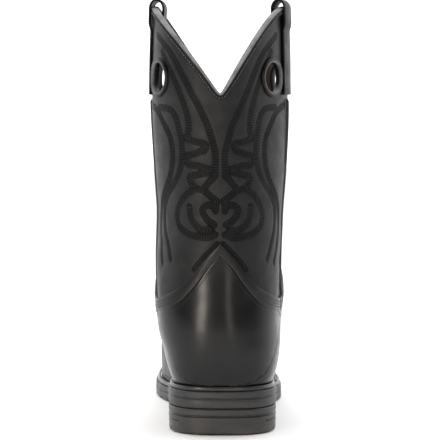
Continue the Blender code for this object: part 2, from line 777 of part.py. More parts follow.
def build_rings():
    """Flat oval rings round the pull holes, laid on the upper's surface."""
    size = 14
    angle = np.linspace(0, 2 * math.pi, size, endpoint=False)
    for name, _, u, v in hole_places():
        loops = []
        for radius, lift in ((HOLE_RADIUS + 0.0003, OVERLAY_NEAR), (RING_RADIUS, OVERLAY_NEAR),
                             (RING_RADIUS, OVERLAY_FAR), (HOLE_RADIUS + 0.0003, OVERLAY_FAR)):
            across = u + radius * np.cos(angle) / row_length(v)
            height = COLLAR_HEIGHT - HOLE_DROP + radius * np.sin(angle)
            loops.append(skin(across, row_at_height(across, height, 16.0), lift + GAP / 2))
        make_object(f"pull_hole_ring_{name}", np.concatenate(loops), ring_faces(4, size, True), "grey")


def vamp_top(u):
    """Row at which the vamp ends in each column: the side seam low down, its top line above."""
    rows = np.linspace(8.0, 16.0, 801)
    top = np.empty(u.shape)
    for side in (-1, 1):
        corner = seam_corner(side)
        seam = seam_u(rows, side)
        share = 1 - np.clip((rows - corner) / (VAMP_PEAK_ROW - corner), 0.0, 1.0) ** (1 / VAMP_LINE_BEND)
        limit = np.minimum(seam * share, seam - PIPING_CLEAR / row_length(rows))
        mine = np.sign(u) == side if side < 0 else u >= 0
        top[mine] = np.interp(-np.abs(u[mine]), -limit, rows)
    return top


def seam_corner(side):
    """Row at which the side seam reaches the top line of vamp and counter."""
    rows = np.linspace(9.0, 16.0, 281)
    height = read(SURFACE, side * seam_u(rows, side), rows)[:, 2]
    return float(np.interp(SEAM_HEIGHT, height, rows))


def base_row(side):
    """Row whose end on the feather meets the side seam."""
    rows = np.linspace(7.0, 13.0, 601)
    return float(rows[np.argmax(seam_u(rows, side) < 0.9999)])


def build_vamp():
    """Vamp over the toe and instep, up to its tongue-shaped peak."""
    u = np.linspace(-1.0, 1.0, 2 * RIM_SIDE + 1)
    top = vamp_top(u)
    rows = np.append(LOW_ROWS[LOW_ROWS < VAMP_PEAK_ROW], VAMP_PEAK_ROW)
    v = np.minimum(rows[:, None], top[None, :])
    u = np.repeat(u[None, :], len(rows), axis=0)
    sheet = thick_sheet(facet_skin(u, v, OVERLAY_FAR), facet_skin(u, v, OVERLAY_NEAR))
    return make_object("vamp", *sheet, "gloss")


def band_shares():
    """Places across the back, from the inner side seam to the outer one."""
    half = np.linspace(0.0, 0.95, 12)
    return np.concatenate([-half[::-1], half[1:]])


def back_map(side):
    """Places and rows behind the side seam, by level and by share of the way from back to seam."""
    floor = feather_height(along(0.0))
    level = BACK_LEVELS[:, None]
    low_v = row_on_seam(floor + BACK_LEVELS, side)
    high_v = row_at_height(np.full(len(BACK_LEVELS), side), floor + BACK_LEVELS, CLOSED_ROW)
    low_v[0] = base_row(side)
    high_v[0] = CLOSED_ROW
    v = low_v[:, None] + (high_v - low_v)[:, None] * np.linspace(0.0, 1.0, 61)[None, :]
    a = seam_u(v, side)
    b = np.ones(v.shape)
    for _ in range(30):
        middle = (a + b) / 2
        above = read(SURFACE, side * middle, v)[..., 2] > floor + level
        a = np.where(above, middle, a)
        b = np.where(above, b, middle)
    u = np.where(level > 0, (a + b) / 2, 1.0)
    points = read(SURFACE, side * u, v)
    steps = np.linalg.norm(np.diff(points, axis=1), axis=2)
    length = np.concatenate([np.zeros((len(v), 1)), np.cumsum(steps, axis=1)], axis=1)
    return u, v, 1 - length / length[:, -1:]


def back_place(side, share, height):
    """Place and row of points behind the seam, by share of the way to it and height."""
    u, v, shares = BACK[side]
    floor = feather_height(along(0.0))
    wanted = np.linspace(0.0, 1.0, 41)
    table_u = np.array([np.interp(wanted, s[::-1], row[::-1]) for s, row in zip(shares, u)])
    table_v = np.array([np.interp(wanted, s[::-1], row[::-1]) for s, row in zip(shares, v)])
    level = np.interp(height - floor, BACK_LEVELS, np.arange(len(BACK_LEVELS)))
    column = share * (len(wanted) - 1)
    return side * mix(table_u, level, column), mix(table_v, level, column)


def mix(table, row, column):
    """Value of a table between its rows and columns."""
    j = np.clip(row.astype(int), 0, table.shape[0] - 2)
    i = np.clip(column.astype(int), 0, table.shape[1] - 2)
    fj = row - j
    fi = column - i
    low = table[j, i] * (1 - fi) + table[j, i + 1] * fi
    high = table[j + 1, i] * (1 - fi) + table[j + 1, i + 1] * fi
    return low * (1 - fj) + high * fj


def row_on_seam(height, side):
    """Rows at which the side seam reaches the given heights."""
    rows = np.linspace(base_row(side), TOP_ROW, 400)
    return np.interp(height, read(SURFACE, side * seam_u(rows, side), rows)[:, 2], rows)


def counter_half(side):
    """Places and rows of one half of the counter, from the feather up to its top line."""
    shares = band_shares()
    shares = shares[shares >= 0][None, :]
    rise = np.linspace(0.0, 1.0, 10)[:, None]
    floor = feather_height(along(0.0))
    line = line_height(COUNTER_LINE, SEAM_HEIGHT, COUNTER_PEAK, shares)
    height = floor + (line - floor) * rise
    return back_place(side, shares + 0.0 * height, height)


def build_counter():
    """Heel counter from seam to seam round the back."""
    parts = []
    for side in (-1, 1):
        u, v = counter_half(side)
        shut = np.zeros(len(v) - 1, dtype=bool)
        parts.append(thick_sheet(skin(u, v, OVERLAY_FAR), skin(u, v, OVERLAY_NEAR), shut))
    return make_object("heel_counter", *join_sheets(parts), "gloss")


def build_counter_band():
    """Strip above the counter, seam to seam round the back."""
    share = band_shares()
    side = np.where(share < 0, -1, 1)
    size = np.abs(share)
    low = line_height(COUNTER_LINE, SEAM_HEIGHT, COUNTER_PEAK, size) + slope_gap(size)
    high = line_height(BAND_LINE, SEAM_HEIGHT + BAND_RISE, COUNTER_BAND_PEAK, size)
    heights = low + (high - low) * np.array([0.0, 0.5, 1.0])[:, None]
    size = size[None, :] + 0.0 * heights
    inner_u, inner_v = back_place(-1, size, heights)
    outer_u, outer_v = back_place(1, size, heights)
    u = np.where(side < 0, inner_u, outer_u)
    v = np.where(side < 0, inner_v, outer_v)
    sheet = thick_sheet(skin(u, v, BAND_FAR), skin(u, v, BAND_NEAR))
    return make_object("counter_band", *sheet, "leather")


def slope_gap(size):
    """Upright gap that leaves an even space beside the counter's sloping line."""
    return 0.0005 + 0.0007 * np.exp(-((size - 0.2) / 0.15) ** 2)


def front_place(size, side, height):
    """Place and row of points before the seam, by share of the way from the front to it and height."""
    size, side, height = np.broadcast_arrays(size, side, height)
    a = np.full(size.shape, 9.0)
    b = np.full(size.shape, TOP_ROW)
    for _ in range(30):
        v = (a + b) / 2
        tip = np.where(side < 0, seam_u(v, -1), seam_u(v, 1))
        place = side * size * tip
        below = read(SURFACE, place, v)[..., 2] < height
        a = np.where(below, v, a)
        b = np.where(below, b, v)
    return place, v


def build_vamp_band():
    """Strip above the vamp, seam to seam over the instep."""
    u = np.linspace(-1.0, 1.0, 2 * RIM_SIDE + 1)
    v = vamp_top(u)
    tip = np.where(u < 0, seam_u(v, -1), seam_u(v, 1))
    inside = np.abs(u) < 0.93 * tip
    share = np.concatenate([[-0.95], (u / tip)[inside], [0.95]])
    line = read(SURFACE, u, v)[:, 2]
    low = np.interp(share, (u / tip)[inside], line[inside])
    low[[0, -1]] = SEAM_HEIGHT + 0.0045
    low = low + VAMP_BAND_GAP
    side = np.where(share < 0, -1, 1)
    rise = np.array([0.0, 0.5, 1.0])[:, None] * VAMP_BAND_RISE
    u, v = front_place(np.abs(share)[None, :], side[None, :], low[None, :] + rise)
    sheet = thick_sheet(skin(u, v, BAND_FAR), skin(u, v, BAND_NEAR))
    return make_object("vamp_band", *sheet, "leather")


def build_piping(name, side):
    """Raised strip over one side seam, from the welt to the foot of the pull strap."""
    tip = float(collar_height(np.array(side * TIP_U[side])))
    height = np.linspace(0.0, 1.0, 25) ** 1.1
    low = base_row(side) + 0.06
    top = tip - STRAP_LEG - 2 * STRAP_THICK
    v = low + (row_at_height(side * TIP_U[side], top, 14.0) - low) * height
    u = side * seam_u(v, side)
    spine = skin(u, v)
    normal = read(NORMAL, u, v)
    run = np.gradient(spine, axis=0)
    across = np.cross(run, normal)
    across /= np.linalg.norm(across, axis=1, keepdims=True)
    loops = []
    for wide, lift in ((-1.0, 0.24), (-0.85, 0.8), (0.0, 1.0), (0.85, 0.8), (1.0, 0.24)):
        loops.append(spine + across * wide * PIPING_HALF + normal * lift * PIPING_HEIGHT)
    grid = np.stack(loops, axis=1)
    grid[..., 2] = np.maximum(grid[..., 2], feather_height(grid[..., 1]))
    size = len(loops)
    faces = ring_faces(len(v), size)
    faces += [tuple(range(size))[::-1], tuple(range((len(v) - 1) * size, len(v) * size))]
    return make_object(name, grid.reshape(-1, 3), faces, "leather")


def build_binding():
    """Folded edge round the collar, mitred at the two dips."""
    u = np.linspace(-1.0, 1.0, 2 * RIM_SIDE + 1)[:-1]
    v = row_at_height(u, collar_height(u), 18.0)
    rim = skin(u, v)
    normal = read(NORMAL, u, v)
    ahead = np.roll(rim, -1, axis=0) - rim
    behind = rim - np.roll(rim, 1, axis=0)
    ahead /= np.linalg.norm(ahead, axis=1, keepdims=True)
    behind /= np.linalg.norm(behind, axis=1, keepdims=True)
    run = ahead + behind
    run /= np.linalg.norm(run, axis=1, keepdims=True)
    up = np.cross(normal, run)
    up *= np.sign(up[:, 2:3])
    mitre = 1 / np.clip(np.sum(ahead * run, axis=1, keepdims=True), 0.5, 1.0)
    outer = OVERLAY_NEAR + GAP / 2
    inner = -WALL - OVERLAY_NEAR - GAP / 2
    profile = [
        (outer, -BINDING_LEG), (outer + BINDING_THICK, -BINDING_LEG), (outer + BINDING_THICK, 0.0006),
        (-WALL / 2, 0.0015), (inner - BINDING_THICK, 0.0006), (inner - BINDING_THICK, -BINDING_LEG),
        (inner, -BINDING_LEG), (inner, 0.0004), (outer, 0.0004),
    ]
    loops = [rim + normal * lift + up * mitre * rise for lift, rise in profile]
    points = np.concatenate(loops)
    return make_object("collar_binding", points, ring_faces(len(loops), len(rim), True), "grey")


def strap_line(side, across):
    """Middle line of a pull strap at one place across its width, and its outward direction."""
    tip = float(collar_height(np.array(side * TIP_U[side])))
    base = tip - 0.001
    row = float(row_at_height(side * TIP_U[side], base, 20.0))
    u = side * (TIP_U[side] + across / row_length(row))
    lines = []
    for place in np.array([1.0, 0.7, 0.42, 0.26, 0.17, 0.0]):
        height = base - STRAP_LEG * place
        v = row_at_height(u, height, 14.0)
        below = STRAP_LEG * place / BINDING_LEG
        stand = STRAP_NEAR + (STRAP_STAND - STRAP_NEAR) * (1 - smooth((below - 3.3) / 1.8))
        lines.append((skin(u, v, stand), read(NORMAL, u, v)))
    v = row_at_height(u, base, 18.0)
    centre = skin(u, v)
    normal = read(NORMAL, u, v)
    reach = (STRAP_STAND + STRAP_INNER) / 2
    middle = centre + normal * (STRAP_STAND - STRAP_INNER) / 2
    for angle in np.linspace(0.0, math.pi, 9)[1:-1]:
        out = normal * math.cos(angle) + np.array((0.0, 0.0, STRAP_RISE / reach)) * math.sin(angle)
        lines.append((middle + out * reach, out / np.linalg.norm(out)))
    for place in np.linspace(0.0, 1.0, 5):
        height = base - STRAP_LEG * place
        v = row_at_height(u, height, 14.0)
        inner = -STRAP_INNER * (1 - place) - (WALL + GAP + STRAP_THICK / 2 + 0.0003) * place
        lines.append((skin(u, v, inner), -read(NORMAL, u, v)))
    return lines


def build_strap(name, side):
    """Pull strap looped over the collar at one side seam."""
    columns = [strap_line(side, a) for a in np.linspace(-STRAP_WIDTH / 2, STRAP_WIDTH / 2, 4)]
    far = np.array([[p + n * STRAP_THICK / 2 for p, n in column] for column in columns])
    near = np.array([[p - n * STRAP_THICK / 2 for p, n in column] for column in columns])
    return make_object(name, *thick_sheet(far, near), "leather")


start_clean()
EDGES = {side: edge_table(side) for side in (-1, 1)}
FEATHER = {side: edge_point(side, EDGES[side][0], 0.0, 1.0) for side in (-1, 1)}
SURFACE, NORMAL = dense_surface()
TIP_U = {side: float(seam_u(row_at_height(side * 0.5, COLLAR_HEIGHT, 20.0), side)) for side in (-1, 1)}
BACK = {side: back_map(side) for side in (-1, 1)}
build_outsole()
build_heel()
build_welt()
build_insole()
build_upper()
build_vamp()
build_counter()
build_vamp_band()
build_counter_band()
build_piping("side_piping_medial", -1)
build_piping("side_piping_lateral", 1)
build_binding()
build_strap("pull_strap_medial", -1)
build_strap("pull_strap_lateral", 1)
build_rings()
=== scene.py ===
"""Looks of a black leather western work boot for the right foot.

Metres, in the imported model's frame: the toe points to +Y, the foot's outer side is +X.
The leather pieces are fine grids over the same fan of sections as the model's solids, with
grooves, thread, rounded edges and grain. The camera looks at the back of the boot.
"""

import math

import bpy
import numpy as np
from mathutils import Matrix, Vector


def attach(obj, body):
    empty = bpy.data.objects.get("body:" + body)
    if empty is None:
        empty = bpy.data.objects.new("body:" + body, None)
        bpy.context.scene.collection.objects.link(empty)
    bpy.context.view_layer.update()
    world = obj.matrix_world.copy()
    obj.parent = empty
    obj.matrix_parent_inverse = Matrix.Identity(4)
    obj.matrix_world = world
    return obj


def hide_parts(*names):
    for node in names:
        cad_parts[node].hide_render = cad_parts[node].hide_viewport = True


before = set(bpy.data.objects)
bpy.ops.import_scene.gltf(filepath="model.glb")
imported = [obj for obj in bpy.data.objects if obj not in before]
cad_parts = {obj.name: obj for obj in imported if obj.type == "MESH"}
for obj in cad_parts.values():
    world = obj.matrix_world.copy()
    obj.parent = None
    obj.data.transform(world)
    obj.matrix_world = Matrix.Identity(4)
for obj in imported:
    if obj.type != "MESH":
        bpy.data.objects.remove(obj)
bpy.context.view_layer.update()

# Sizes of the model's solids
SOLE_LENGTH = 0.311
SOLE_WIDTH = 0.112
COLLAR_HEIGHT = 0.3356
SHAFT_WIDTH = 0.111
SHAFT_CENTRE = -0.0015
HEEL_ROUND = 0.043
TOE_ROUND = 0.034
HEEL_SEAT = 0.0345
HEEL_SOLE_THICK = 0.0135
WAIST_THICK = 0.0095
FORE_THICK = 0.0125
TOE_SPRING = 0.008
WELT_THICK = 0.0035
WELT_SETBACK = 0.0014
WELT_UNDERLAP = 0.006
REACH_HEEL = 0.0043
REACH_WAIST = 0.0035
REACH_FORE = 0.0065
SLOT_WIDTH = 0.0036
SLOT_DEPTH = 0.0026
WALL = 0.0022
OVERLAY_NEAR = 0.0006
OVERLAY_FAR = 0.0017
BAND_FAR = 0.0021
FEATHER_GAP = 0.0005
GAP = 0.0003
SEAM_HEIGHT = 0.092
COUNTER_PEAK = 0.1414
COUNTER_BAND_PEAK = 0.1500
BAND_RISE = 0.0107
PIPING_HALF = 0.0020
PIPING_HEIGHT = 0.0019
PIPING_CLEAR = 0.0036
BACK_DIP = 0.0696
FRONT_DIP = 0.0736
BINDING_LEG = 0.0034
BINDING_THICK = 0.0010
HOLE_DROP = 0.0556
HOLE_SHARE = 0.65
HOLE_RADIUS = 0.0118
RING_RADIUS = 0.0156
STRAP_WIDTH = 0.025
STRAP_THICK = 0.0018
STRAP_LEG = 0.068
STRAP_RISE = 0.0072
STRAP_NEAR = 0.0015
STRAP_STAND = 0.0031
STRAP_INNER = 0.0076
SAMPLES = 96
ROW_STEPS = 8

# The sole's two edges before the ends are rounded
# share of length, inner edge and outer edge as shares of half the width
PLAN = np.array([
    (0.000, -0.768, 0.768),
    (0.138, -0.768, 0.768),
    (0.240, -0.708, 0.708),
    (0.370, -0.598, 0.625),
    (0.482, -0.780, 0.780),
    (0.595, -0.992, 0.925),
    (0.659, -1.050, 0.930),
    (0.772, -1.058, 0.866),
    (0.891, -0.985, 0.735),
    (1.000, -0.890, 0.616),
])

# The fan of sections
# front point: share of length, rise above the feather as a share of the collar's rise
# back point: share of length, rise (0 while it lies on the feather)
# half width as a share of half the shaft's width, squareness of the arch, slimness of the sides
FAN = np.array([
    (0.979, 0.000, 0.884, 0.000, 0.000, 0.62, 1.00),
    (0.990, 0.040, 0.871, 0.000, 0.144, 0.66, 1.00),
    (0.981, 0.086, 0.842, 0.000, 0.252, 0.70, 1.00),
    (0.939, 0.124, 0.804, 0.000, 0.342, 0.76, 1.00),
    (0.865, 0.152, 0.749, 0.000, 0.432, 0.82, 1.00),
    (0.768, 0.182, 0.678, 0.000, 0.505, 0.88, 0.97),
    (0.662, 0.220, 0.595, 0.000, 0.559, 0.94, 0.90),
    (0.566, 0.267, 0.502, 0.000, 0.580, 1.00, 0.80),
    (0.489, 0.313, 0.408, 0.000, 0.598, 1.02, 0.70),
    (0.434, 0.350, 0.312, 0.000, 0.612, 1.02, 0.65),
    (0.399, 0.387, 0.215, 0.000, 0.640, 1.00, 0.65),
    (0.379, 0.421, 0.119, 0.000, 0.675, 1.00, 0.65),
    (0.368, 0.450, 0.055, 0.000, 0.755, 1.00, 0.65),
    (0.362, 0.475, 0.023, 0.000, 0.835, 1.00, 0.76),
    (0.358, 0.497, 0.014, 0.000, 0.860, 1.00, 0.78),
    (0.354, 0.519, -0.002, 0.065, 0.865, 1.00, 0.88),
    (0.352, 0.542, -0.006, 0.139, 0.870, 1.00, 0.95),
    (0.350, 0.565, -0.002, 0.220, 0.879, 1.00, 1.00),
    (0.350, 0.592, 0.003, 0.308, 0.888, 1.00, 1.00),
    (0.352, 0.623, 0.003, 0.402, 0.901, 1.00, 1.00),
    (0.354, 0.661, -0.002, 0.503, 0.919, 1.00, 1.00),
    (0.356, 0.709, -0.010, 0.611, 0.942, 1.00, 1.00),
    (0.360, 0.767, -0.019, 0.712, 0.969, 1.00, 1.00),
    (0.365, 0.870, -0.031, 0.846, 1.000, 1.00, 1.00),
    (0.367, 1.039, -0.035, 1.015, 1.000, 1.00, 1.00),
])
CLOSED_ROW = 14.0
FOOT_TOP_ROW = 12.0
SHAPED_ROW = 12.5

# The heel cup: share of the collar's rise, half width as a share of half the shaft's width
CUP = np.array([
    (0.000, 0.688), (0.025, 0.742), (0.055, 0.780), (0.090, 0.803), (0.135, 0.815),
    (0.185, 0.824), (0.235, 0.846), (0.300, 0.862), (0.400, 0.872), (1.100, 0.900),
])
CUP_ROUND = 2.3
SEAT_ROUND = 2.8
TOP_ROW = 24.0

# Lean of the leg: share of the collar's height, factors of the inner and the outer half width
LEAN = np.array([
    (0.000, 1.000, 1.000), (0.165, 1.000, 1.000), (0.196, 1.030, 1.000), (0.228, 1.080, 0.995),
    (0.262, 1.100, 0.985), (0.315, 1.090, 0.978), (0.375, 1.078, 0.982), (0.435, 1.055, 0.990),
    (0.480, 1.025, 0.993), (0.520, 1.008, 0.993), (0.570, 1.012, 1.003), (0.640, 1.017, 1.015),
    (0.720, 1.017, 1.020), (0.775, 1.010, 1.010), (0.830, 0.990, 0.986), (0.905, 0.970, 0.970),
    (0.985, 0.957, 0.956), (1.100, 0.950, 0.950),
])

# The side seam: share of the collar's height, share of length
SIDE_SEAM = np.array([
    (0.000, 0.290),
    (0.113, 0.283),
    (0.179, 0.251),
    (0.358, 0.203),
    (0.596, 0.180),
    (1.100, 0.163),
])

# Lines behind the seam: share of the way from the back to the seam, share of the peak's rise
COUNTER_LINE = np.array([
    (0.00, 1.000), (0.11, 0.775), (0.18, 0.580), (0.29, 0.335), (0.41, 0.170), (0.65, 0.050), (1.00, 0.000),
])
BAND_LINE = np.array([
    (0.00, 1.000), (0.13, 0.730), (0.215, 0.505), (0.34, 0.280), (0.46, 0.150), (0.85, 0.010), (1.00, 0.000),
])
BACK_LEVELS = np.array([
    0.0, 0.0015, 0.004, 0.008, 0.014, 0.022, 0.032, 0.044, 0.056, 0.068, 0.080, 0.092, 0.104, 0.118, 0.135,
])
VAMP_PEAK_ROW = 15.2
VAMP_LINE_BEND = 2.4
VAMP_BAND_RISE = 0.0150
VAMP_BAND_GAP = 0.0010
VAMP_END_RISE = 0.0045


def smooth(t):
    """Ease from 0 to 1."""
    t = np.clip(t, 0.0, 1.0)
    return t * t * (3.0 - 2.0 * t)


def curve(knots, values, t):
    """Smooth curve through a table's rows."""
    slopes = np.gradient(values, knots, axis=0)
    t = np.clip(t, knots[0], knots[-1])
    low = np.clip(np.searchsorted(knots, t, side="right") - 1, 0, len(knots) - 2)
    shape = np.shape(low) + (1,) * (values.ndim - 1)
    span = (knots[low + 1] - knots[low]).reshape(shape)
    f = (t - knots[low]).reshape(shape) / span
    start = values[low] * (1 + 2 * f) * (1 - f) ** 2 + values[low + 1] * f * f * (3 - 2 * f)
    return start + span * (slopes[low] * f * (1 - f) ** 2 - slopes[low + 1] * f * f * (1 - f))


def along(share):
    """Y at a share of the sole's length."""
    return share * SOLE_LENGTH - HEEL_ROUND


def sole_top(y):
    """Height of the outsole's top face: heel seat, fall over the waist, flat ball, toe spring."""
    fall = smooth((y - along(0.254)) / (along(0.550) - along(0.254)))
    spring = np.clip((y - along(0.733)) / (along(1.0) - along(0.733)), 0.0, None)
    return HEEL_SEAT + (FORE_THICK - HEEL_SEAT) * fall + TOE_SPRING * spring ** 1.8


def sole_thickness(y):
    """Thickness of the outsole, least under the waist."""
    waist = smooth((y - along(0.254)) / (along(0.379) - along(0.254)))
    fore = smooth((y - along(0.395)) / (along(0.550) - along(0.395)))
    return HEEL_SOLE_THICK + (WAIST_THICK - HEEL_SOLE_THICK) * waist + (FORE_THICK - WAIST_THICK) * fore


def welt_top(y):
    """Height of the welt's top face."""
    return sole_top(y) + GAP + WELT_THICK


def feather_height(y):
    """Height of the upper's lower edge."""
    return welt_top(y) + FEATHER_GAP


def welt_reach(y):
    """How far the sole stands out past the upper."""
    waist = smooth((y - along(0.14)) / (along(0.33) - along(0.14)))
    fore = smooth((y - along(0.42)) / (along(0.60) - along(0.42)))
    return REACH_HEEL + (REACH_WAIST - REACH_HEEL) * waist + (REACH_FORE - REACH_WAIST) * fore


def edge_share(t):
    """Share of the length at a point of the half outline; t runs 0 to 1 from heel to toe."""
    heel = HEEL_ROUND / SOLE_LENGTH
    toe = 1.0 - TOE_ROUND / SOLE_LENGTH
    back = heel * (1.0 - np.cos(np.clip(t / 0.3, 0, 1) * math.pi / 2) ** (2 / SEAT_ROUND))
    middle = (toe - heel) * np.clip((t - 0.3) / 0.4, 0, 1)
    front = (1.0 - toe) * np.sin(np.clip((t - 0.7) / 0.3, 0, 1) * math.pi / 2) ** (2 / 3.0)
    return back + middle + front


def edge_round(t):
    """Factor that draws the two edges together at the heel and the toe."""
    back = np.sin(np.clip(t / 0.3, 0, 1) * math.pi / 2) ** (2 / SEAT_ROUND)
    front = np.cos(np.clip((t - 0.7) / 0.3, 0, 1) * math.pi / 2) ** (2 / 3.0)
    return back * front


def edge_table(side):
    """Dense half outline: t, x, y and the inward normal."""
    t = np.linspace(0.0, 1.0, 1201)
    share = edge_share(t)
    edges = curve(PLAN[:, 0], PLAN[:, 1:], share)
    middle = edges.mean(axis=1) * SOLE_WIDTH / 2
    half = (edges[:, 1] - edges[:, 0]) / 2 * SOLE_WIDTH / 2
    x = middle + side * half * edge_round(t)
    y = along(share)
    dx = np.gradient(x)
    dy = np.gradient(y)
    size = np.hypot(dx, dy)
    nx = -side * dy / size
    ny = side * dx / size
    nx[[0, -1]] = 0.0
    ny[[0, -1]] = (1.0, -1.0)
    return np.stack([t, x, y, nx, ny])


def edge_point(side, t, inset, reach=0.0):
    """Points of one half outline drawn inwards by an inset and a share of the welt's reach."""
    rows = EDGES[side]
    x, y, nx, ny = (np.interp(t, rows[0], rows[k]) for k in range(1, 5))
    step = inset + reach * welt_reach(y)
    return x + nx * step, y + ny * step


def feather_span(y):
    """Middle and half width of the feather line at y."""
    inner = np.interp(y, FEATHER[-1][1], FEATHER[-1][0])
    outer = np.interp(y, FEATHER[1][1], FEATHER[1][0])
    return (inner + outer) / 2, (outer - inner) / 2


def fan_rows(rows):
    """Front and back points, half widths, squareness and slimness of the sections at the given rows."""
    rise = COLLAR_HEIGHT - feather_height(along(0.0))
    data = curve(np.arange(len(FAN)), FAN, rows)
    front_y = along(data[:, 0])
    back_y = np.maximum(along(data[:, 2]), np.where(rows < CLOSED_ROW, FEATHER[1][1][0], -1.0))
    front_z = feather_height(front_y) + np.maximum(data[:, 1], 0.0) * rise
    closed_z = feather_height(along(0.0)) + data[:, 3] * rise
    back_z = np.where(rows < CLOSED_ROW, feather_height(back_y), closed_z)
    return front_y, front_z, back_y, back_z, data[:, 4] * SHAFT_WIDTH / 2, data[:, 5], data[:, 6]


def back_edge(z):
    """Y of the back seam at height z."""
    rows = np.linspace(CLOSED_ROW, TOP_ROW, 200)
    points = fan_rows(rows)
    return np.interp(z, points[3], points[2])


def cup_half(y, z):
    """Half width of the heel cup: round behind, straight at the sides, wider with height."""
    floor = feather_height(along(0.0))
    rise = np.clip((z - floor) / (COLLAR_HEIGHT - floor), 0.0, 1.1)
    half = curve(CUP[:, 0], CUP[:, 1], rise) * SHAFT_WIDTH / 2
    centre = 0.008 * smooth(rise / 0.08)
    back = np.clip((centre - y) / (centre - back_edge(z)), 0.0, 1.0)
    power = CUP_ROUND + (SEAT_ROUND - CUP_ROUND) * (1 - smooth(rise / 0.14))
    return half * (1 - back ** power) ** (1 / power)


def half_sections(rows, side):
    """Points of each section's half, spaced evenly from the top or front centre to its end."""
    front_y, front_z, back_y, back_z, wide, square, slim = (c[:, None] for c in fan_rows(rows))
    v = rows[:, None]
    tau = np.linspace(0.0, 1.0, 2 * SAMPLES + 1)[None, :]
    centre, foot = feather_span(back_y)
    foot = np.where(v < CLOSED_ROW, foot, 0.0)
    lean = smooth((v - 18.0) / 5.0)
    skew = 1.0 + lean * (0.25 if side > 0 else -0.07)
    arch = foot * np.cos(math.pi * tau / 2) ** square
    bulge = wide * np.sin(math.pi * np.minimum(tau ** skew, 1.0)) ** slim
    heel_half = feather_span(np.array(0.0))[1]
    fill = np.clip(foot / heel_half, 0.0, 1.0)
    closing = np.maximum((1.0 - fill ** 6) * smooth((v - 9.5) / 1.5), 0.45 * (1.0 - fill))
    q = (1 - closing) * np.sin(math.pi * tau / 2) + closing * (1 - np.cos(math.pi * tau)) / 2
    half = np.hypot(arch, bulge)
    y = back_y + (front_y - back_y) * q
    z = back_z + (front_z - back_z) * q
    cup_share = smooth((v - 9.0) / 1.5) * (1 - smooth((v - 15.0) / 2.0)) * (1 - smooth((y - 0.002) / 0.034))
    half = half + (cup_half(y, z) - half) * cup_share
    half = np.where(v < 1.0, (1 - v) * feather_span(y)[1] + v * half, half)
    half = half * curve(LEAN[:, 0], LEAN[:, 1:], z / COLLAR_HEIGHT)[..., 0 if side < 0 else 1]
    upright = smooth((v - 10.0) / 8.0)
    front_x = feather_span(front_y)[0] * (1 - upright) + SHAFT_CENTRE * upright
    back_x = centre * (1 - upright) + SHAFT_CENTRE * upright
    x = back_x + (front_x - back_x) * q + side * half
    return spread(np.stack([x, y, z], axis=-1)[:, ::-1])


def row_runs(points):
    """Length of each row of points up to each of them."""
    steps = np.linalg.norm(np.diff(points, axis=1), axis=2)
    return np.concatenate([np.zeros((len(points), 1)), np.cumsum(steps, axis=1)], axis=1)


def spread(points):
    """Space the points of each row evenly along its length."""
    length = row_runs(points)
    even = np.linspace(0.0, 1.0, SAMPLES + 1)
    out = np.empty((len(points), SAMPLES + 1, 3))
    for row, (size, line) in enumerate(zip(length, points)):
        for axis in range(3):
            out[row, :, axis] = np.interp(even * size[-1], size, line[:, axis])
    return out


def dense_surface():
    """Grid of the whole surface and its outward normals."""
    rows = np.linspace(0.0, TOP_ROW, int(TOP_ROW) * ROW_STEPS + 1)
    inner = half_sections(rows, -1)
    outer = half_sections(rows, 1)
    grid = np.concatenate([inner[:, ::-1], outer[:, 1:]], axis=1)
    normal = np.cross(np.gradient(grid, axis=0), np.gradient(grid, axis=1))
    for _ in range(2):
        normal[1:-1] = (normal[:-2] + 2 * normal[1:-1] + normal[2:]) / 4
        normal[:, 1:-1] = (normal[:, :-2] + 2 * normal[:, 1:-1] + normal[:, 2:]) / 4
        normal[0, [0, 1, -2, -1]] = normal[1, [2, 3, -4, -3]]
    closed = rows >= CLOSED_ROW
    seam = normal[closed, 0] + normal[closed, -1]
    normal[closed, 0] = seam
    normal[closed, -1] = seam
    return grid, normal / np.linalg.norm(normal, axis=2, keepdims=True)


def read(field, u, v):
    """Value of a grid at u (-1 inner, 0 centre, 1 outer) and at row v."""
    u, v = np.broadcast_arrays(np.asarray(u, float), np.asarray(v, float))
    a = np.clip((u + 1) / 2 * (field.shape[1] - 1), 0, field.shape[1] - 1.000001)
    b = np.clip(v * ROW_STEPS, 0, field.shape[0] - 1.000001)
    i = a.astype(int)
    j = b.astype(int)
    fa = (a - i)[..., None]
    fb = (b - j)[..., None]
    low = field[j, i] * (1 - fa) + field[j, i + 1] * fa
    high = field[j + 1, i] * (1 - fa) + field[j + 1, i + 1] * fa
    return low * (1 - fb) + high * fb


def cubic_weights(f):
    """Weights of four neighbours on a cubic curve through the middle two."""
    return (
        (-f + 2 * f ** 2 - f ** 3) / 2, (2 - 5 * f ** 2 + 3 * f ** 3) / 2,
        (f + 4 * f ** 2 - 3 * f ** 3) / 2, (f ** 3 - f ** 2) / 2,
    )


def fine_read(field, u, v):
    """Value of a grid at u and row v on cubic curves; closed rows carry on round the back seam."""
    u, v = np.broadcast_arrays(np.asarray(u, float), np.asarray(v, float))
    rows, columns = field.shape[:2]
    a = np.clip((u + 1) / 2 * (columns - 1), 0, columns - 1.000001)
    b = np.clip(v * ROW_STEPS, 0, rows - 1.000001)
    i = a.astype(int)
    j = b.astype(int)
    total = 0.0
    for dj, row_weight in enumerate(cubic_weights(b - j)):
        row = np.clip(j + dj - 1, 0, rows - 1)
        for di, weight in enumerate(cubic_weights(a - i)):
            column = i + di - 1
            closed = row >= CLOSED_ROW * ROW_STEPS
            column = np.where(closed, column % (columns - 1), np.clip(column, 0, columns - 1))
            total = total + field[row, column] * (weight * row_weight)[..., None]
    return total


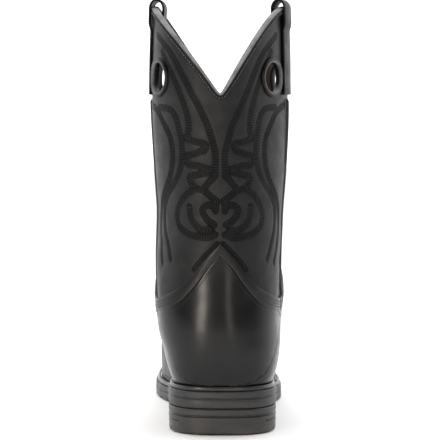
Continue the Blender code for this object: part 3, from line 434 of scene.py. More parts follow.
def skin(u, v, lift=0.0):
    """Points of the upper's surface, lifted along its normal and kept above the welt."""
    normal = fine_read(NORMAL, u, v)
    points = fine_read(SURFACE, u, v) + normal * lift
    floor = feather_height(points[..., 1])
    points[..., 2] = np.maximum(points[..., 2], floor)
    return points


def halving(low, high, steps, short):
    """Values between low and high at which a test stops being true, by halving."""
    for _ in range(steps):
        middle = (low + high) / 2
        go_on = short(middle)
        low = np.where(go_on, middle, low)
        high = np.where(go_on, high, middle)
    return (low + high) / 2


def row_at_height(u, z, low=8.0):
    """Row at which the surface reaches height z, by halving."""
    u, z = np.broadcast_arrays(np.asarray(u, float), np.asarray(z, float))
    return halving(np.full(u.shape, low), np.full(u.shape, TOP_ROW), 34,
                   lambda row: read(SURFACE, u, row)[..., 2] < z)


def seam_y(z):
    """Y of the side seam at height z."""
    return along(curve(SIDE_SEAM[:, 0], SIDE_SEAM[:, 1], z / COLLAR_HEIGHT))


def seam_u(v, side):
    """Place of the side seam on row v, by halving; 1 where the row ends before it."""
    v = np.asarray(v, float)

    def ahead(size):
        """Whether the points at a share of the row lie ahead of the seam."""
        point = read(SURFACE, side * size, v)
        return point[..., 1] > seam_y(point[..., 2])

    return halving(np.zeros(v.shape), np.ones(v.shape), 30, ahead)


def row_length(v):
    """Length of half a row, both sides taken together."""
    steps = np.linalg.norm(np.diff(SURFACE, axis=1), axis=2).sum(axis=1) / 2
    return np.interp(v, np.arange(len(steps)) / ROW_STEPS, steps)


def collar_height(u):
    """Height of the collar: two dips at the centres, two tips at the side seams."""
    side = np.where(u < 0, -1, 1)
    tip = np.where(side < 0, TIP_U[-1], TIP_U[1])
    size = np.abs(u)
    ahead = size < tip
    share = np.where(ahead, size / tip, (1 - size) / (1 - tip))
    share = np.clip(np.hypot(share, 0.03) - 0.03, 0.0, 1.0)
    dip = np.where(ahead, FRONT_DIP, BACK_DIP)
    return COLLAR_HEIGHT - dip * (1 - share) ** 2.1


def tip_height(side):
    """Height of the collar at a side seam."""
    return float(collar_height(np.array(side * TIP_U[side])))


def line_height(table, foot, peak, share):
    """Height of a line at a share of the way from the back to the side seam."""
    return foot + (peak - foot) * curve(table[:, 0], table[:, 1], share)


def seam_corner(side):
    """Row at which the side seam reaches the top line of vamp and counter."""
    rows = np.linspace(9.0, 16.0, 281)
    height = read(SURFACE, side * seam_u(rows, side), rows)[:, 2]
    return float(np.interp(SEAM_HEIGHT, height, rows))


def base_row(side):
    """Row whose end on the feather meets the side seam."""
    rows = np.linspace(7.0, 13.0, 601)
    return float(rows[np.argmax(seam_u(rows, side) < 0.9999)])


def vamp_top(u):
    """Row at which the vamp ends in each column: the side seam low down, its top line above."""
    rows = np.linspace(8.0, 16.0, 801)
    top = np.empty(u.shape)
    for side in (-1, 1):
        corner = seam_corner(side)
        seam = seam_u(rows, side)
        share = 1 - np.clip((rows - corner) / (VAMP_PEAK_ROW - corner), 0.0, 1.0) ** (1 / VAMP_LINE_BEND)
        limit = np.minimum(seam * share, seam - PIPING_CLEAR / row_length(rows))
        mine = np.sign(u) == side if side < 0 else u >= 0
        top[mine] = np.interp(-np.abs(u[mine]), -limit, rows)
    return top


def back_map(side):
    """Places and rows behind the side seam, by level and by share of the way from back to seam."""
    floor = feather_height(along(0.0))
    level = BACK_LEVELS[:, None]
    low_v = row_on_seam(floor + BACK_LEVELS, side)
    high_v = row_at_height(np.full(len(BACK_LEVELS), side), floor + BACK_LEVELS, CLOSED_ROW)
    low_v[0] = base_row(side)
    high_v[0] = CLOSED_ROW
    v = low_v[:, None] + (high_v - low_v)[:, None] * np.linspace(0.0, 1.0, 61)[None, :]
    u = halving(seam_u(v, side), np.ones(v.shape), 30,
                lambda size: read(SURFACE, side * size, v)[..., 2] > floor + level)
    u = np.where(level > 0, u, 1.0)
    length = row_runs(read(SURFACE, side * u, v))
    return u, v, 1 - length / length[:, -1:]


def back_place(side, share, height):
    """Place and row of points behind the seam, by share of the way to it and height."""
    u, v, shares = BACK[side]
    floor = feather_height(along(0.0))
    wanted = np.linspace(0.0, 1.0, 41)
    table_u = np.array([np.interp(wanted, s[::-1], row[::-1]) for s, row in zip(shares, u)])
    table_v = np.array([np.interp(wanted, s[::-1], row[::-1]) for s, row in zip(shares, v)])
    level = np.interp(height - floor, BACK_LEVELS, np.arange(len(BACK_LEVELS)))
    column = share * (len(wanted) - 1)
    return side * mix(table_u, level, column), mix(table_v, level, column)


def mix(table, row, column):
    """Value of a table between its rows and columns."""
    j = np.clip(row.astype(int), 0, table.shape[0] - 2)
    i = np.clip(column.astype(int), 0, table.shape[1] - 2)
    fj = row - j
    fi = column - i
    low = table[j, i] * (1 - fi) + table[j, i + 1] * fi
    high = table[j + 1, i] * (1 - fi) + table[j + 1, i + 1] * fi
    return low * (1 - fj) + high * fj


def row_on_seam(height, side):
    """Rows at which the side seam reaches the given heights."""
    rows = np.linspace(base_row(side), TOP_ROW, 400)
    return np.interp(height, read(SURFACE, side * seam_u(rows, side), rows)[:, 2], rows)


def slope_gap(size):
    """Upright gap that leaves an even space beside the counter's sloping line."""
    return 0.0005 + 0.0007 * np.exp(-((size - 0.2) / 0.15) ** 2)


def front_place(size, side, height):
    """Place and row of points before the seam, by share of the way from the front to it and height."""
    size, side, height = np.broadcast_arrays(size, side, height)

    def place(v):
        """Place on each row at the share of the way to the seam."""
        return side * size * np.where(side < 0, seam_u(v, -1), seam_u(v, 1))

    v = halving(np.full(size.shape, 9.0), np.full(size.shape, TOP_ROW), 29,
                lambda row: read(SURFACE, place(row), row)[..., 2] < height)
    return place(v), v


def hole_places():
    """Middle of each pull hole: name, side, place on the row, row."""
    places = []
    for side_name, side in (("medial", -1), ("lateral", 1)):
        for end_name, ahead in (("back", False), ("front", True)):
            row = row_at_height(side * TIP_U[side], COLLAR_HEIGHT - HOLE_DROP, 18.0)
            tip = seam_u(row, side)
            place = tip * HOLE_SHARE if ahead else 1 - HOLE_SHARE * (1 - tip)
            row = float(row_at_height(side * place, COLLAR_HEIGHT - HOLE_DROP, 18.0))
            places.append((f"{side_name}_{end_name}", side, float(side * place), row))
    return places


# Counts of the fine grids, and the angle in degrees from which an edge is sharp
UPPER_COLUMNS = 301
UPPER_ROWS = 214
FOOT_ROWS = 32
LINING_ROWS = 28
VAMP_COLUMNS = 221
VAMP_ROWS = 190
COUNTER_COLUMNS = 110
COUNTER_ROWS = 84
STRIP_COLUMNS = 130
STRIP_ROWS = 16
VAMP_BAND_COLUMNS = 261
COLLAR_COLUMNS = 620
RING_COLUMNS = 84
PIPING_ROWS = 400
STRAP_OUTER_ROWS = 44
STRAP_ARCH_ROWS = 25
STRAP_INNER_ROWS = 30
STRAP_STITCHED_ROWS = 60
STRAP_COLUMNS = 17
SHARP_ANGLE = 48

# Thread
PITCH = 0.0021
STITCH = 0.0016
THREAD = 0.00030
ROW_GAP = 0.0014
COLLAR_PITCH = 0.0024
COLLAR_STITCH = 0.0018
WELT_PITCH = 0.0042
WELT_STITCH = 0.0034
WELT_THREAD = 0.00045
WELT_ROW_SETBACK = 0.0021

# Where rows of thread lie: drops and shifts in metres, shares of a strip's width
COUNTER_ROW_DROPS = (0.0024, 0.0040)
STRIP_ROW_SHARES = (0.30, 0.52, 0.74)
VAMP_ROW_DROPS = (0.0026, 0.0042)
VAMP_STRIP_ROW_SHARES = (0.25, 0.42, 0.80)
SIDE_ROW_SHIFTS = (-0.0052, -0.0034, 0.0034, 0.0052)

# Finish of the leather's edges and of the pattern, in metres
EDGE_ROUND = 0.0003
VAMP_EDGE_ROUND = 0.0004
PRESS_DEPTH = 0.00028
PRESS_HALF = 0.0032
WAVE_DEPTH = 0.00010
STRIP_PUFF = 0.00022
COUNTER_FILL = 0.00035
PIPING_BEAD = 0.16
CLEAR_OF_STRIP = 0.002
CLEAR_OF_SEAM = 0.004
CLEAR_OF_RING = 0.0008
HOLE_TRIM = 0.0019

GROOVE_DEPTH = 0.00022

# Distances in millimetres from the pattern's lines: its band's darkest part (painted shade), its end, and no
# band near
BAND_FULL = 2.5
BAND_END = 3.1
NO_PATTERN = 9.0

# The shaft's stitched pattern on one side of the back's centre, in millimetres
# name, rows of thread, points: arc from the centre and height over the floor
PATTERN = [
    ("over_counter", 4, [(2.2, 150.0), (7.0, 145.2), (12.0, 140.2), (17.0, 134.8), (21.0, 130.6)]),
    ("inner_v", 4, [(62.0, 313.0), (52.5, 307.0), (44.0, 300.5), (37.5, 293.0), (32.3, 285.0), (28.0, 277.6),
                    (23.6, 268.8), (18.2, 259.6), (13.6, 250.8), (9.6, 242.1), (7.3, 234.7), (5.2, 227.6),
                    (3.8, 220.2), (3.6, 212.3), (3.6, 204.0)]),
    ("second_v", 4, [(53.0, 300.0), (46.8, 291.4), (41.2, 283.0), (35.9, 274.0), (31.4, 264.6), (28.2, 256.0),
                     (26.0, 248.0), (25.4, 240.0), (27.2, 232.1)]),
    ("zigzag", 4, [(27.2, 232.1), (19.0, 230.0), (11.4, 227.4), (11.6, 224.6), (19.0, 221.2), (27.0, 217.6),
                   (26.8, 213.8), (17.0, 211.2), (7.6, 208.2), (15.0, 205.0), (25.0, 201.8), (23.4, 198.0),
                   (20.6, 194.6)]),
    ("diamond", 3, [(3.6, 204.0), (7.4, 200.0), (12.4, 192.6), (7.4, 187.6), (2.6, 184.0)]),
    ("column", 3, [(3.6, 184.3), (3.6, 180.0), (3.6, 176.2)]),
    ("oval", 4, [(12.7, 192.5), (19.9, 193.0), (28.6, 188.0), (34.5, 181.4), (38.0, 172.4), (36.2, 165.0),
                 (29.4, 159.4), (18.5, 156.0), (9.3, 155.4), (3.7, 157.8)]),
    ("lobe_in", 3, [(5.0, 180.3), (10.6, 180.6), (14.2, 177.2), (12.8, 172.8), (9.2, 168.4), (4.6, 165.6)]),
    ("lobe_out", 4, [(25.4, 179.6), (24.6, 172.0), (20.2, 165.0), (14.0, 161.2), (7.2, 161.6)]),
    ("side_a", 5, [(80.0, 258.5), (68.0, 256.4), (59.2, 252.2), (51.8, 244.6), (45.8, 237.1), (42.2, 229.6),
                   (41.0, 221.0), (41.8, 212.0), (45.6, 202.0), (54.0, 191.3), (62.0, 181.6), (67.0, 172.0),
                   (68.6, 161.0), (67.0, 149.0), (63.0, 133.0)]),
    ("side_b", 4, [(57.6, 256.6), (50.0, 256.4), (42.8, 255.0), (37.6, 250.4), (35.0, 243.2), (33.0, 235.6),
                   (31.4, 225.4), (31.8, 214.8), (34.2, 206.8), (40.2, 197.0), (50.0, 186.8), (56.6, 177.1),
                   (57.8, 167.3), (56.2, 157.7), (51.6, 148.0), (47.4, 137.4)]),
]
PATTERN_DROP = 0.004

# Folds at the ankle: height, tilt across, half width, depth
ANKLE_FOLDS = [
    (0.128, 0.10, 0.0045, 0.00035),
    (0.142, -0.12, 0.0055, 0.00030),
    (0.158, 0.16, 0.0065, 0.00025),
]

# Creases over the ball: y, bow towards the toe, half width, depth
VAMP_CREASES = [
    (0.124, 0.020, 0.0022, 0.00045),
    (0.137, 0.028, 0.0026, 0.00055),
    (0.151, 0.034, 0.0024, 0.00035),
]

# Sole sides, bottom to top: share of thickness, setback in metres
SOLE_SIDE = np.array([
    (0.000, 0.0016), (0.030, 0.0009), (0.080, 0.0003), (0.130, 0.0001), (0.300, 0.0000), (0.520, 0.0000),
    (0.545, 0.0003), (0.560, 0.0007), (0.600, 0.0008), (0.625, 0.0004), (0.645, 0.0000), (0.850, 0.0000),
    (0.940, 0.0001), (0.980, 0.0003), (1.000, 0.0007),
])
HEEL_SLOTS = (-0.020, 0.002)
SOLE_SLOTS = (0.098, 0.117, 0.136, 0.155, 0.174, 0.193, 0.212, 0.231)
HEEL_SPLIT = 0.0206

# Grooves round the heel: height, half width, depth, share of the sole's length behind which there is none
HEEL_GROOVES = [
    (0.0147, 0.00075, 0.0013, -1.0),
    (0.0100, 0.00060, 0.0011, 0.033),
    (0.0055, 0.00060, 0.0011, 0.052),
]


# Mesh helpers


def unit(vectors):
    """Vectors brought to length 1."""
    return vectors / np.maximum(np.linalg.norm(vectors, axis=-1, keepdims=True), 1e-9)


def grid_quads(rows, columns, wrap=False, wrap_rows=False):
    """Corner numbers of a grid's quads; the last column or row may join the first."""
    number = np.arange(rows * columns).reshape(rows, columns)
    across = np.roll(number, -1, axis=1)
    above = np.roll(number, -1, axis=0)
    both = np.roll(above, -1, axis=1)
    quads = np.stack([number, above, both, across], axis=-1)
    if not wrap:
        quads = quads[:, :-1]
    if not wrap_rows:
        quads = quads[:-1]
    return quads.reshape(-1, 4)


def turned_out(points, tables):
    """Face tables of closed bodies, turned round where the volume they enclose is negative."""
    volume = 0.0
    for table in tables:
        corners = points[table]
        for k in range(1, table.shape[1] - 1):
            volume += np.sum(corners[:, 0] * np.cross(corners[:, k], corners[:, k + 1]))
    return [table[:, ::-1] for table in tables] if volume < 0 else tables


def make_piece(name, bodies, paint, nodes=()):
    """Mesh object of several bodies; a body is its points, its face tables and its named values."""
    points = np.concatenate([body[0] for body in bodies])
    starts = np.cumsum([0] + [len(body[0]) for body in bodies])
    tables = [table + start for body, start in zip(bodies, starts) for table in body[1]]
    sizes = np.concatenate([np.full(len(table), table.shape[1]) for table in tables])
    corners = np.concatenate([table.ravel() for table in tables])
    mesh = bpy.data.meshes.new(name)
    mesh.vertices.add(len(points))
    mesh.vertices.foreach_set("co", points.astype(np.float32).ravel())
    mesh.loops.add(len(corners))
    mesh.loops.foreach_set("vertex_index", corners.astype(np.int32))
    mesh.polygons.add(len(sizes))
    mesh.polygons.foreach_set("loop_start", (np.cumsum(sizes) - sizes).astype(np.int32))
    mesh.polygons.foreach_set("use_smooth", np.ones(len(sizes), dtype=bool))
    mesh.update(calc_edges=True)
    for key in sorted({key for body in bodies for key in body[2]}):
        values = [np.broadcast_to(body[2].get(key, 0.0), len(body[0])) for body in bodies]
        layer = mesh.attributes.new(key, "FLOAT", "POINT")
        layer.data.foreach_set("value", np.concatenate(values).astype(np.float32))
    mesh.validate()
    mesh.set_sharp_from_angle(angle=math.radians(SHARP_ANGLE))
    item = bpy.data.objects.new(name, mesh)
    bpy.context.scene.collection.objects.link(item)
    mesh.materials.append(paint)
    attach(item, "root")
    if nodes:
        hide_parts(*nodes)


def rounded_sheet(grid, normal, radius, depth):
    """Body of a sheet over a grid; its four borders turn down in a quarter round, then go straight in."""
    worn = np.zeros(grid.shape[:2])
    for _ in range(4):
        out = unit(grid[-1] - grid[-2])
        rows = []
        for t in (0.5, 1.05, 1.57):
            rows.append(grid[-1] + radius * (out * math.sin(t) + normal[-1] * (math.cos(t) - 1)))
        rows.append(rows[-1] - normal[-1] * (depth - radius))
        grid = np.concatenate([grid, rows])
        normal = np.concatenate([normal, np.repeat(normal[-1:], 4, axis=0)])
        marks = np.array([0.7, 1.0, 0.8, 0.4])[:, None] + np.zeros(grid.shape[1])
        worn = np.rot90(np.concatenate([worn, marks]))
        grid = np.rot90(grid)
        normal = np.rot90(normal)
    quads = grid_quads(*grid.shape[:2])
    return grid.reshape(-1, 3), [quads], {"worn": worn.ravel()}


def tube(loops, worn=0.0):
    """Body of closed loops one after another, whose last joins the first; worn has a value for each loop."""
    rows, columns = loops.shape[:2]
    points = loops.reshape(-1, 3)
    marks = {"worn": (np.asarray(worn)[..., None] + np.zeros((rows, columns))).ravel()}
    return points, turned_out(points, [grid_quads(rows, columns, True, True)]), marks


def capped_tube(loops):
    """Body of closed loops one after another; each end closes on its middle point."""
    rows, columns = loops.shape[:2]
    count = rows * columns
    points = np.concatenate([loops.reshape(-1, 3), loops[0].mean(axis=0)[None], loops[-1].mean(axis=0)[None]])
    first = np.arange(columns)
    after = np.roll(first, -1)
    last = first + count - columns
    tables = [
        grid_quads(rows, columns, True),
        np.stack([np.full(columns, count), first, after], axis=1),
        np.stack([np.full(columns, count + 1), np.roll(last, -1), last], axis=1),
    ]
    return points, turned_out(points, tables), {}


def thread_body(start, end, outward, radius=THREAD):
    """Capsules between pairs of points: three rings of five round a spine that rises as a half sine."""
    run = end - start
    across = unit(np.cross(run, outward))
    up = unit(np.cross(across, run))
    place = np.array([0.14, 0.5, 0.86])[None, :, None, None]
    size = np.array([0.8, 1.0, 0.8])[None, :, None, None] * radius
    angle = np.linspace(0, 2 * math.pi, 5, endpoint=False)[None, None, :, None]
    wide = (slice(None), None, None)
    spine = start[wide] + run[wide] * place + up[wide] * radius * (1.1 * np.sin(math.pi * place) - 0.75)
    rings = spine + (across[wide] * np.cos(angle) + up[wide] * np.sin(angle)) * size
    ends = np.stack([start, end], axis=1) - up[:, None] * radius * 0.9
    points = np.concatenate([rings.reshape(len(start), 15, 3), ends], axis=1)
    i = np.arange(5)
    n = (i + 1) % 5
    quads = np.concatenate([np.stack([i + k, n + k, n + k + 5, i + k + 5], axis=1) for k in (0, 5)])
    first_end = np.stack([0 * i + 15, n, i], axis=1)
    last_end = np.stack([0 * i + 16, i + 10, n + 10], axis=1)
    ends = np.concatenate([first_end, last_end])
    first = np.arange(len(start))[:, None, None] * 17
    points = points.reshape(-1, 3)
    return points, turned_out(points, [(quads + first).reshape(-1, 4), (ends + first).reshape(-1, 3)]), {}


def run_along(points):
    """Length of a line up to each of its points."""
    return np.concatenate([[0.0], np.cumsum(np.linalg.norm(np.diff(points, axis=0), axis=1))])


def even_line(points, step):
    """Evenly spaced points of a line in any number of dimensions, and its unit direction there."""
    length = run_along(points)
    count = max(int(length[-1] / step), 1)
    place = np.linspace(0.0, length[-1], count + 1)
    even = np.stack([np.interp(place, length, points[:, k]) for k in range(points.shape[1])], axis=1)
    return even, unit(np.gradient(even, axis=0))


def bent_line(points, step=0.5):
    """Smooth dense line through given points, as cubic curves over the distance between them."""
    points = np.array(points, float)
    length = run_along(points)
    return curve(length, points, np.linspace(0.0, length[-1], int(length[-1] / step) + 2))


def seam_threads(line, normal, pitch=PITCH, stitch=STITCH, radius=THREAD):
    """Stitches along a dense line of points with outward directions."""
    both = np.concatenate([line, normal * 1e-6], axis=1)
    even, _ = even_line(both, pitch)
    middle = even[:-1, :3] + (even[1:, :3] - even[:-1, :3]) / 2
    way = unit(even[1:, :3] - even[:-1, :3])
    out = unit(even[:-1, 3:] + even[1:, 3:])
    return thread_body(middle - way * stitch / 2, middle + way * stitch / 2, out, radius)


def round_threads(line, out, *sizes):
    """Stitches along a line that ends where it starts."""
    return seam_threads(np.concatenate([line, line[:1]]), np.concatenate([out, out[:1]]), *sizes)


def line_threads(u, v, lift):
    """Stitches along a line of places on the upper's surface."""
    return seam_threads(skin(u, v, lift), fine_read(NORMAL, u, v))


# Places on the shaft


def shaft_place(arc, height, ahead):
    """Place and row of points given by their arc from the back's or the front's centre and their height."""
    side = np.where(arc < 0, -1.0, 1.0)
    v = np.full(np.shape(arc), 20.0)
    for _ in range(3):
        share = np.abs(arc) / row_length(v)
        u = side * (share if ahead else 1 - share)
        v = row_at_height(u, height, 10.0)
    return u, v


def seam_share(u, v):
    """Place of the side seam on the row and side of each point."""
    return np.where(u < 0, seam_u(v, -1), seam_u(v, 1))


def band_top(u, v, ahead):
    """Height at which the strip over vamp or counter ends, in line with each point."""
    tip = seam_share(u, v)
    if ahead:
        return np.interp(np.abs(u) / tip, VAMP_LINE[0], VAMP_LINE[1]) + VAMP_BAND_GAP + VAMP_BAND_RISE
    share = np.clip((1 - np.abs(u)) / (1 - tip), 0.0, 1.0)
    return line_height(BAND_LINE, SEAM_HEIGHT + BAND_RISE, COUNTER_BAND_PEAK, share)


def vamp_line():
    """Table of the vamp's top line: share of the way from the centre to the seam, height."""
    u = np.linspace(0.0, 1.0, 161)
    v = vamp_top(u)
    share = u / seam_u(v, 1)
    height = read(SURFACE, u, v)[:, 2]
    inside = share < 0.95
    return share[inside], height[inside]


def pattern_lines():
    """Centre lines of the pattern in metres, with their sideways directions and rows of thread."""
    lines = []
    for _, rows, points in PATTERN:
        line, way = even_line(bent_line(points) / 1000, PITCH)
        lines.append((line, np.stack([way[:, 1], -way[:, 0]], axis=1), rows))
    return lines


def pattern_distance(arc, height):
    """Distance of each point sideways from the nearest centre line, on one side of it or the other."""
    centre = np.concatenate([bent_line(points, 0.8) / 1000 for _, _, points in PATTERN])
    way = np.concatenate([unit(np.gradient(bent_line(points, 0.8), axis=0)) for _, _, points in PATTERN])
    flat = np.stack([np.abs(arc).ravel(), height.ravel()], axis=1)
    out = np.empty(len(flat))
    for start in range(0, len(flat), 6000):
        part = flat[start:start + 6000]
        apart = (part[:, None, 0] - centre[None, :, 0]) ** 2 + (part[:, None, 1] - centre[None, :, 1]) ** 2
        near = np.argmin(apart, axis=1)
        step = part - centre[near]
        sign = np.sign(step[:, 0] * way[near, 1] - step[:, 1] * way[near, 0])
        out[start:start + 6000] = np.sqrt(apart[np.arange(len(part)), near]) * sign
    return out.reshape(arc.shape)


def clear_of_edges(u, v, points, ahead):
    """Whether stitches lie above the lower strips, short of the piping and clear of the pull holes."""
    tip = seam_share(u, v)
    keep = points[..., 2] > band_top(u, v, ahead) + CLEAR_OF_STRIP
    keep &= np.abs(np.abs(u) - tip) * row_length(v) > CLEAR_OF_SEAM
    keep &= (np.abs(u) < tip) == ahead
    for _, _, hole_u, hole_v in HOLES:
        keep &= np.linalg.norm(points - skin(hole_u, hole_v), axis=-1) > RING_RADIUS + CLEAR_OF_RING
    return keep


def pattern_threads(ahead):
    """Stitches of the shaft's pattern on its back or its front, side by side in each band of rows."""
    starts = []
    ends = []
    for line, sideways, rows in pattern_lines():
        for shift in (np.arange(rows) - (rows - 1) / 2) * ROW_GAP:
            row = line + sideways * shift
            step = unit(row[1:] - row[:-1]) * STITCH / 2
            middle = (row[1:] + row[:-1]) / 2
            starts.append(middle - step)
            ends.append(middle + step)
    start = np.concatenate(starts)
    end = np.concatenate(ends)
    mirror = np.array([-1.0, 1.0])
    start = np.concatenate([start, start * mirror])
    end = np.concatenate([end, end * mirror])
    drop = PATTERN_DROP if ahead else 0.0
    u, v = shaft_place(start[:, 0], start[:, 1] - drop, ahead)
    far_u, far_v = shaft_place(end[:, 0], end[:, 1] - drop, ahead)
    first = shaft_skin(u, v)
    last = shaft_skin(far_u, far_v)
    keep = clear_of_edges(u, v, first, ahead)
    return thread_body(first[keep], last[keep], read(NORMAL, u, v)[keep])


def shaft_marks(u, v, height):
    """Sideways distance from the pattern's nearest line, in millimetres, or NO_PATTERN."""
    length = row_length(v)
    tip = seam_share(u, v)
    ahead = np.abs(u) < tip
    arc = np.where(ahead, np.abs(u), 1 - np.abs(u)) * length
    row = pattern_distance(arc, height + np.where(ahead, PATTERN_DROP, 0.0)) * 1000
    covered = height < np.where(ahead, band_top(u, v, True), band_top(u, v, False))
    near_seam = np.abs(np.abs(u) - tip) * length < CLEAR_OF_SEAM
    return np.where(covered | near_seam, NO_PATTERN, np.clip(row, -NO_PATTERN, NO_PATTERN))


def soft_waves(points):
    """Gentle unevenness of the shaft in metres: three slow sines and shallow folds at the ankle."""
    x, y, z = points[..., 0], points[..., 1], points[..., 2]
    slow = np.sin(31 * z + 40 * x + 0.4) + np.sin(57 * z - 35 * y + 1.9) + 0.7 * np.sin(83 * x + 44 * z + 3.0)
    fold = 0.0
    for height, tilt, wide, deep in ANKLE_FOLDS:
        bell = np.exp(-((z - height - tilt * x) / wide) ** 2)
        fold = fold - deep * bell * smooth((np.abs(x) - 0.012) / 0.03)
    return WAVE_DEPTH * slow * smooth((z - 0.10) / 0.03) * (1 - smooth((z - 0.29) / 0.03)) + fold


def pressed(row):
    """Depth at a distance in millimetres from the pattern's lines: a flat-bottomed bell."""
    return PRESS_DEPTH * np.exp(-(row / (PRESS_HALF * 1000)) ** 4)


def shaft_skin(u, v):
    """The shaft's outer face with its waves, pressed in along the pattern."""
    points = skin(u, v)
    row = shaft_marks(u, v, points[..., 2])
    return points + fine_read(NORMAL, u, v) * (soft_waves(points) - pressed(row))[..., None]


# Pieces


def build_upper():
    """Shaft and lasted foot: fine outer face, coarser lining face, closed over the collar's edge."""
    u = np.linspace(-1.0, 1.0, UPPER_COLUMNS)
    top = row_at_height(u, collar_height(u), 18.0)
    low = np.linspace(0.0, FOOT_TOP_ROW, FOOT_ROWS)[:, None] + 0.0 * u
    start = read(SURFACE, u, np.full(u.shape, FOOT_TOP_ROW))[:, 2]
    end = read(SURFACE, u, top)[:, 2]
    shares = np.linspace(0.0, 1.0, UPPER_ROWS)[1:, None]
    high = np.minimum(row_at_height(u + 0.0 * shares, start + (end - start) * shares, FOOT_TOP_ROW), top)
    v = np.concatenate([low, high])
    across = u + 0.0 * v
    row = shaft_marks(across, v, read(SURFACE, across, v)[..., 2])
    far = skin(across, v)
    shape = soft_waves(far) - pressed(row)
    far = far + fine_read(NORMAL, across, v) * (shape * (v > SHAPED_ROW))[..., None]
    shaft_rows = np.linspace(FOOT_ROWS, len(v) - 1, LINING_ROWS).astype(int)
    back = np.concatenate([np.arange(FOOT_ROWS), shaft_rows])[::-1]
    near = skin(across[back], v[back], -WALL)
    points = np.concatenate([far, near])
    rows = np.concatenate([v, v[back]])
    quads = grid_quads(*points.shape[:2])
    number = np.arange(points[..., 0].size).reshape(points.shape[:2])
    number[rows[:, 0] >= CLOSED_ROW, -1] = number[rows[:, 0] >= CLOSED_ROW, 0]
    quads = number.ravel()[quads]
    inside = np.concatenate([np.zeros(v.shape), np.ones(near.shape[:2])])
    row = np.concatenate([row, np.full(near.shape[:2], NO_PATTERN)])
    marks = {"row": row, "away": np.abs(row), "inside": inside}
    return trimmed(points.reshape(-1, 3), quads, {key: value.ravel() for key, value in marks.items()})


def trimmed(points, quads, marks):
    """Body without the quads inside the pull holes and without points that no quad uses."""
    middle = points[quads].mean(axis=1)
    keep = np.ones(len(quads), dtype=bool)
    for _, _, u, v in HOLES:
        keep &= np.linalg.norm(middle - skin(u, v), axis=1) > HOLE_RADIUS + HOLE_TRIM
    used, quads = np.unique(quads[keep], return_inverse=True)
    return points[used], [quads.reshape(-1, 4)], {key: value[used] for key, value in marks.items()}


def build_vamp():
    """Vamp from the toe's feather line to its tongue-shaped top, with shallow creases over the ball."""
    u = np.linspace(-1.0, 1.0, VAMP_COLUMNS)
    v = np.linspace(0.0, 1.0, VAMP_ROWS)[:, None] * vamp_top(u)
    across = u + 0.0 * v
    normal = fine_read(NORMAL, across, v)
    grid = skin(across, v, OVERLAY_FAR)
    y = grid[..., 1]
    height = grid[..., 2]
    crease = 0.0
    for middle, bow, wide, deep in VAMP_CREASES:
        line = middle + bow * (np.abs(across) - 0.1) ** 2
        crease = crease + deep * np.exp(-((y - line) / wide) ** 2) * smooth((height - 0.035) / 0.015)
    grid = grid - normal * np.broadcast_to(crease, y.shape)[..., None]
    return rounded_sheet(grid, normal, VAMP_EDGE_ROUND, OVERLAY_FAR)


def back_strip(low_line, high_line, columns, rows):
    """Places and rows of a strip round the back between two lines given by height at a share."""
    size = np.linspace(0.0, 0.955, columns)
    share = np.linspace(0.0, 1.0, rows)[:, None]
    height = low_line(size) + (high_line(size) - low_line(size)) * share
    size = size + 0.0 * height
    inner_u, inner_v = back_place(-1, size, height)
    outer_u, outer_v = back_place(1, size, height)
    u = np.concatenate([inner_u[:, ::-1], outer_u[:, 1:]], axis=1)
    return u, np.concatenate([inner_v[:, ::-1], outer_v[:, 1:]], axis=1)


def counter_line(size):
    """Height of the counter's top line at a share of the way to the side seam."""
    return line_height(COUNTER_LINE, SEAM_HEIGHT, COUNTER_PEAK, size)


def band_low(size):
    """Height of the lower edge of the strip over the counter."""
    return counter_line(size) + slope_gap(size)


def band_high(size):
    """Height of the upper edge of the strip over the counter."""
    return line_height(BAND_LINE, SEAM_HEIGHT + BAND_RISE, COUNTER_BAND_PEAK, size)


def counter_floor(size):
    """Height of the feather line at the heel."""
    return feather_height(along(0.0)) + 0.0002 + 0.0 * size


def counter_skin(u, v, lift):
    """Counter leather: the upper's surface, filled out a little where the stiffener ends."""
    points = skin(u, v, lift)
    rise = (points[..., 2] - 0.04) / 0.06
    return points + fine_read(NORMAL, u, v) * (COUNTER_FILL * np.exp(-((rise - 0.55) / 0.4) ** 2))[..., None]


def build_counter():
    """Heel counter from side seam to side seam."""
    u, v = back_strip(counter_floor, counter_line, COUNTER_COLUMNS, COUNTER_ROWS)
    return rounded_sheet(counter_skin(u, v, OVERLAY_FAR), fine_read(NORMAL, u, v), EDGE_ROUND, OVERLAY_FAR)


def build_counter_band():
    """Strip over the counter, from side seam to side seam."""
    u, v = back_strip(band_low, band_high, STRIP_COLUMNS, STRIP_ROWS)
    puff = STRIP_PUFF * np.sin(np.linspace(0, math.pi, STRIP_ROWS))[:, None]
    grid = skin(u, v, BAND_FAR) + fine_read(NORMAL, u, v) * (puff + 0.0 * u)[..., None]
    return rounded_sheet(grid, fine_read(NORMAL, u, v), EDGE_ROUND, BAND_FAR)


def vamp_band_places(shares, rises):
    """Places and rows over the vamp's top line, by share of the way to the seams and rise above it."""
    size = np.abs(shares)
    low = np.interp(size, VAMP_LINE[0], VAMP_LINE[1])
    low = np.where(size > 0.93, low + (SEAM_HEIGHT + VAMP_END_RISE - low) * (size - 0.93) / 0.02, low)
    height = low + VAMP_BAND_GAP + rises[:, None]
    side = np.where(shares < 0, -1, 1)
    return front_place(size, side, height)


def build_vamp_band():
    """Strip over the vamp, from side seam to side seam."""
    shares = np.linspace(-0.95, 0.95, VAMP_BAND_COLUMNS)
    u, v = vamp_band_places(shares, np.linspace(0.0, 1.0, STRIP_ROWS) * VAMP_BAND_RISE)
    return rounded_sheet(skin(u, v, BAND_FAR), fine_read(NORMAL, u, v), EDGE_ROUND, BAND_FAR)


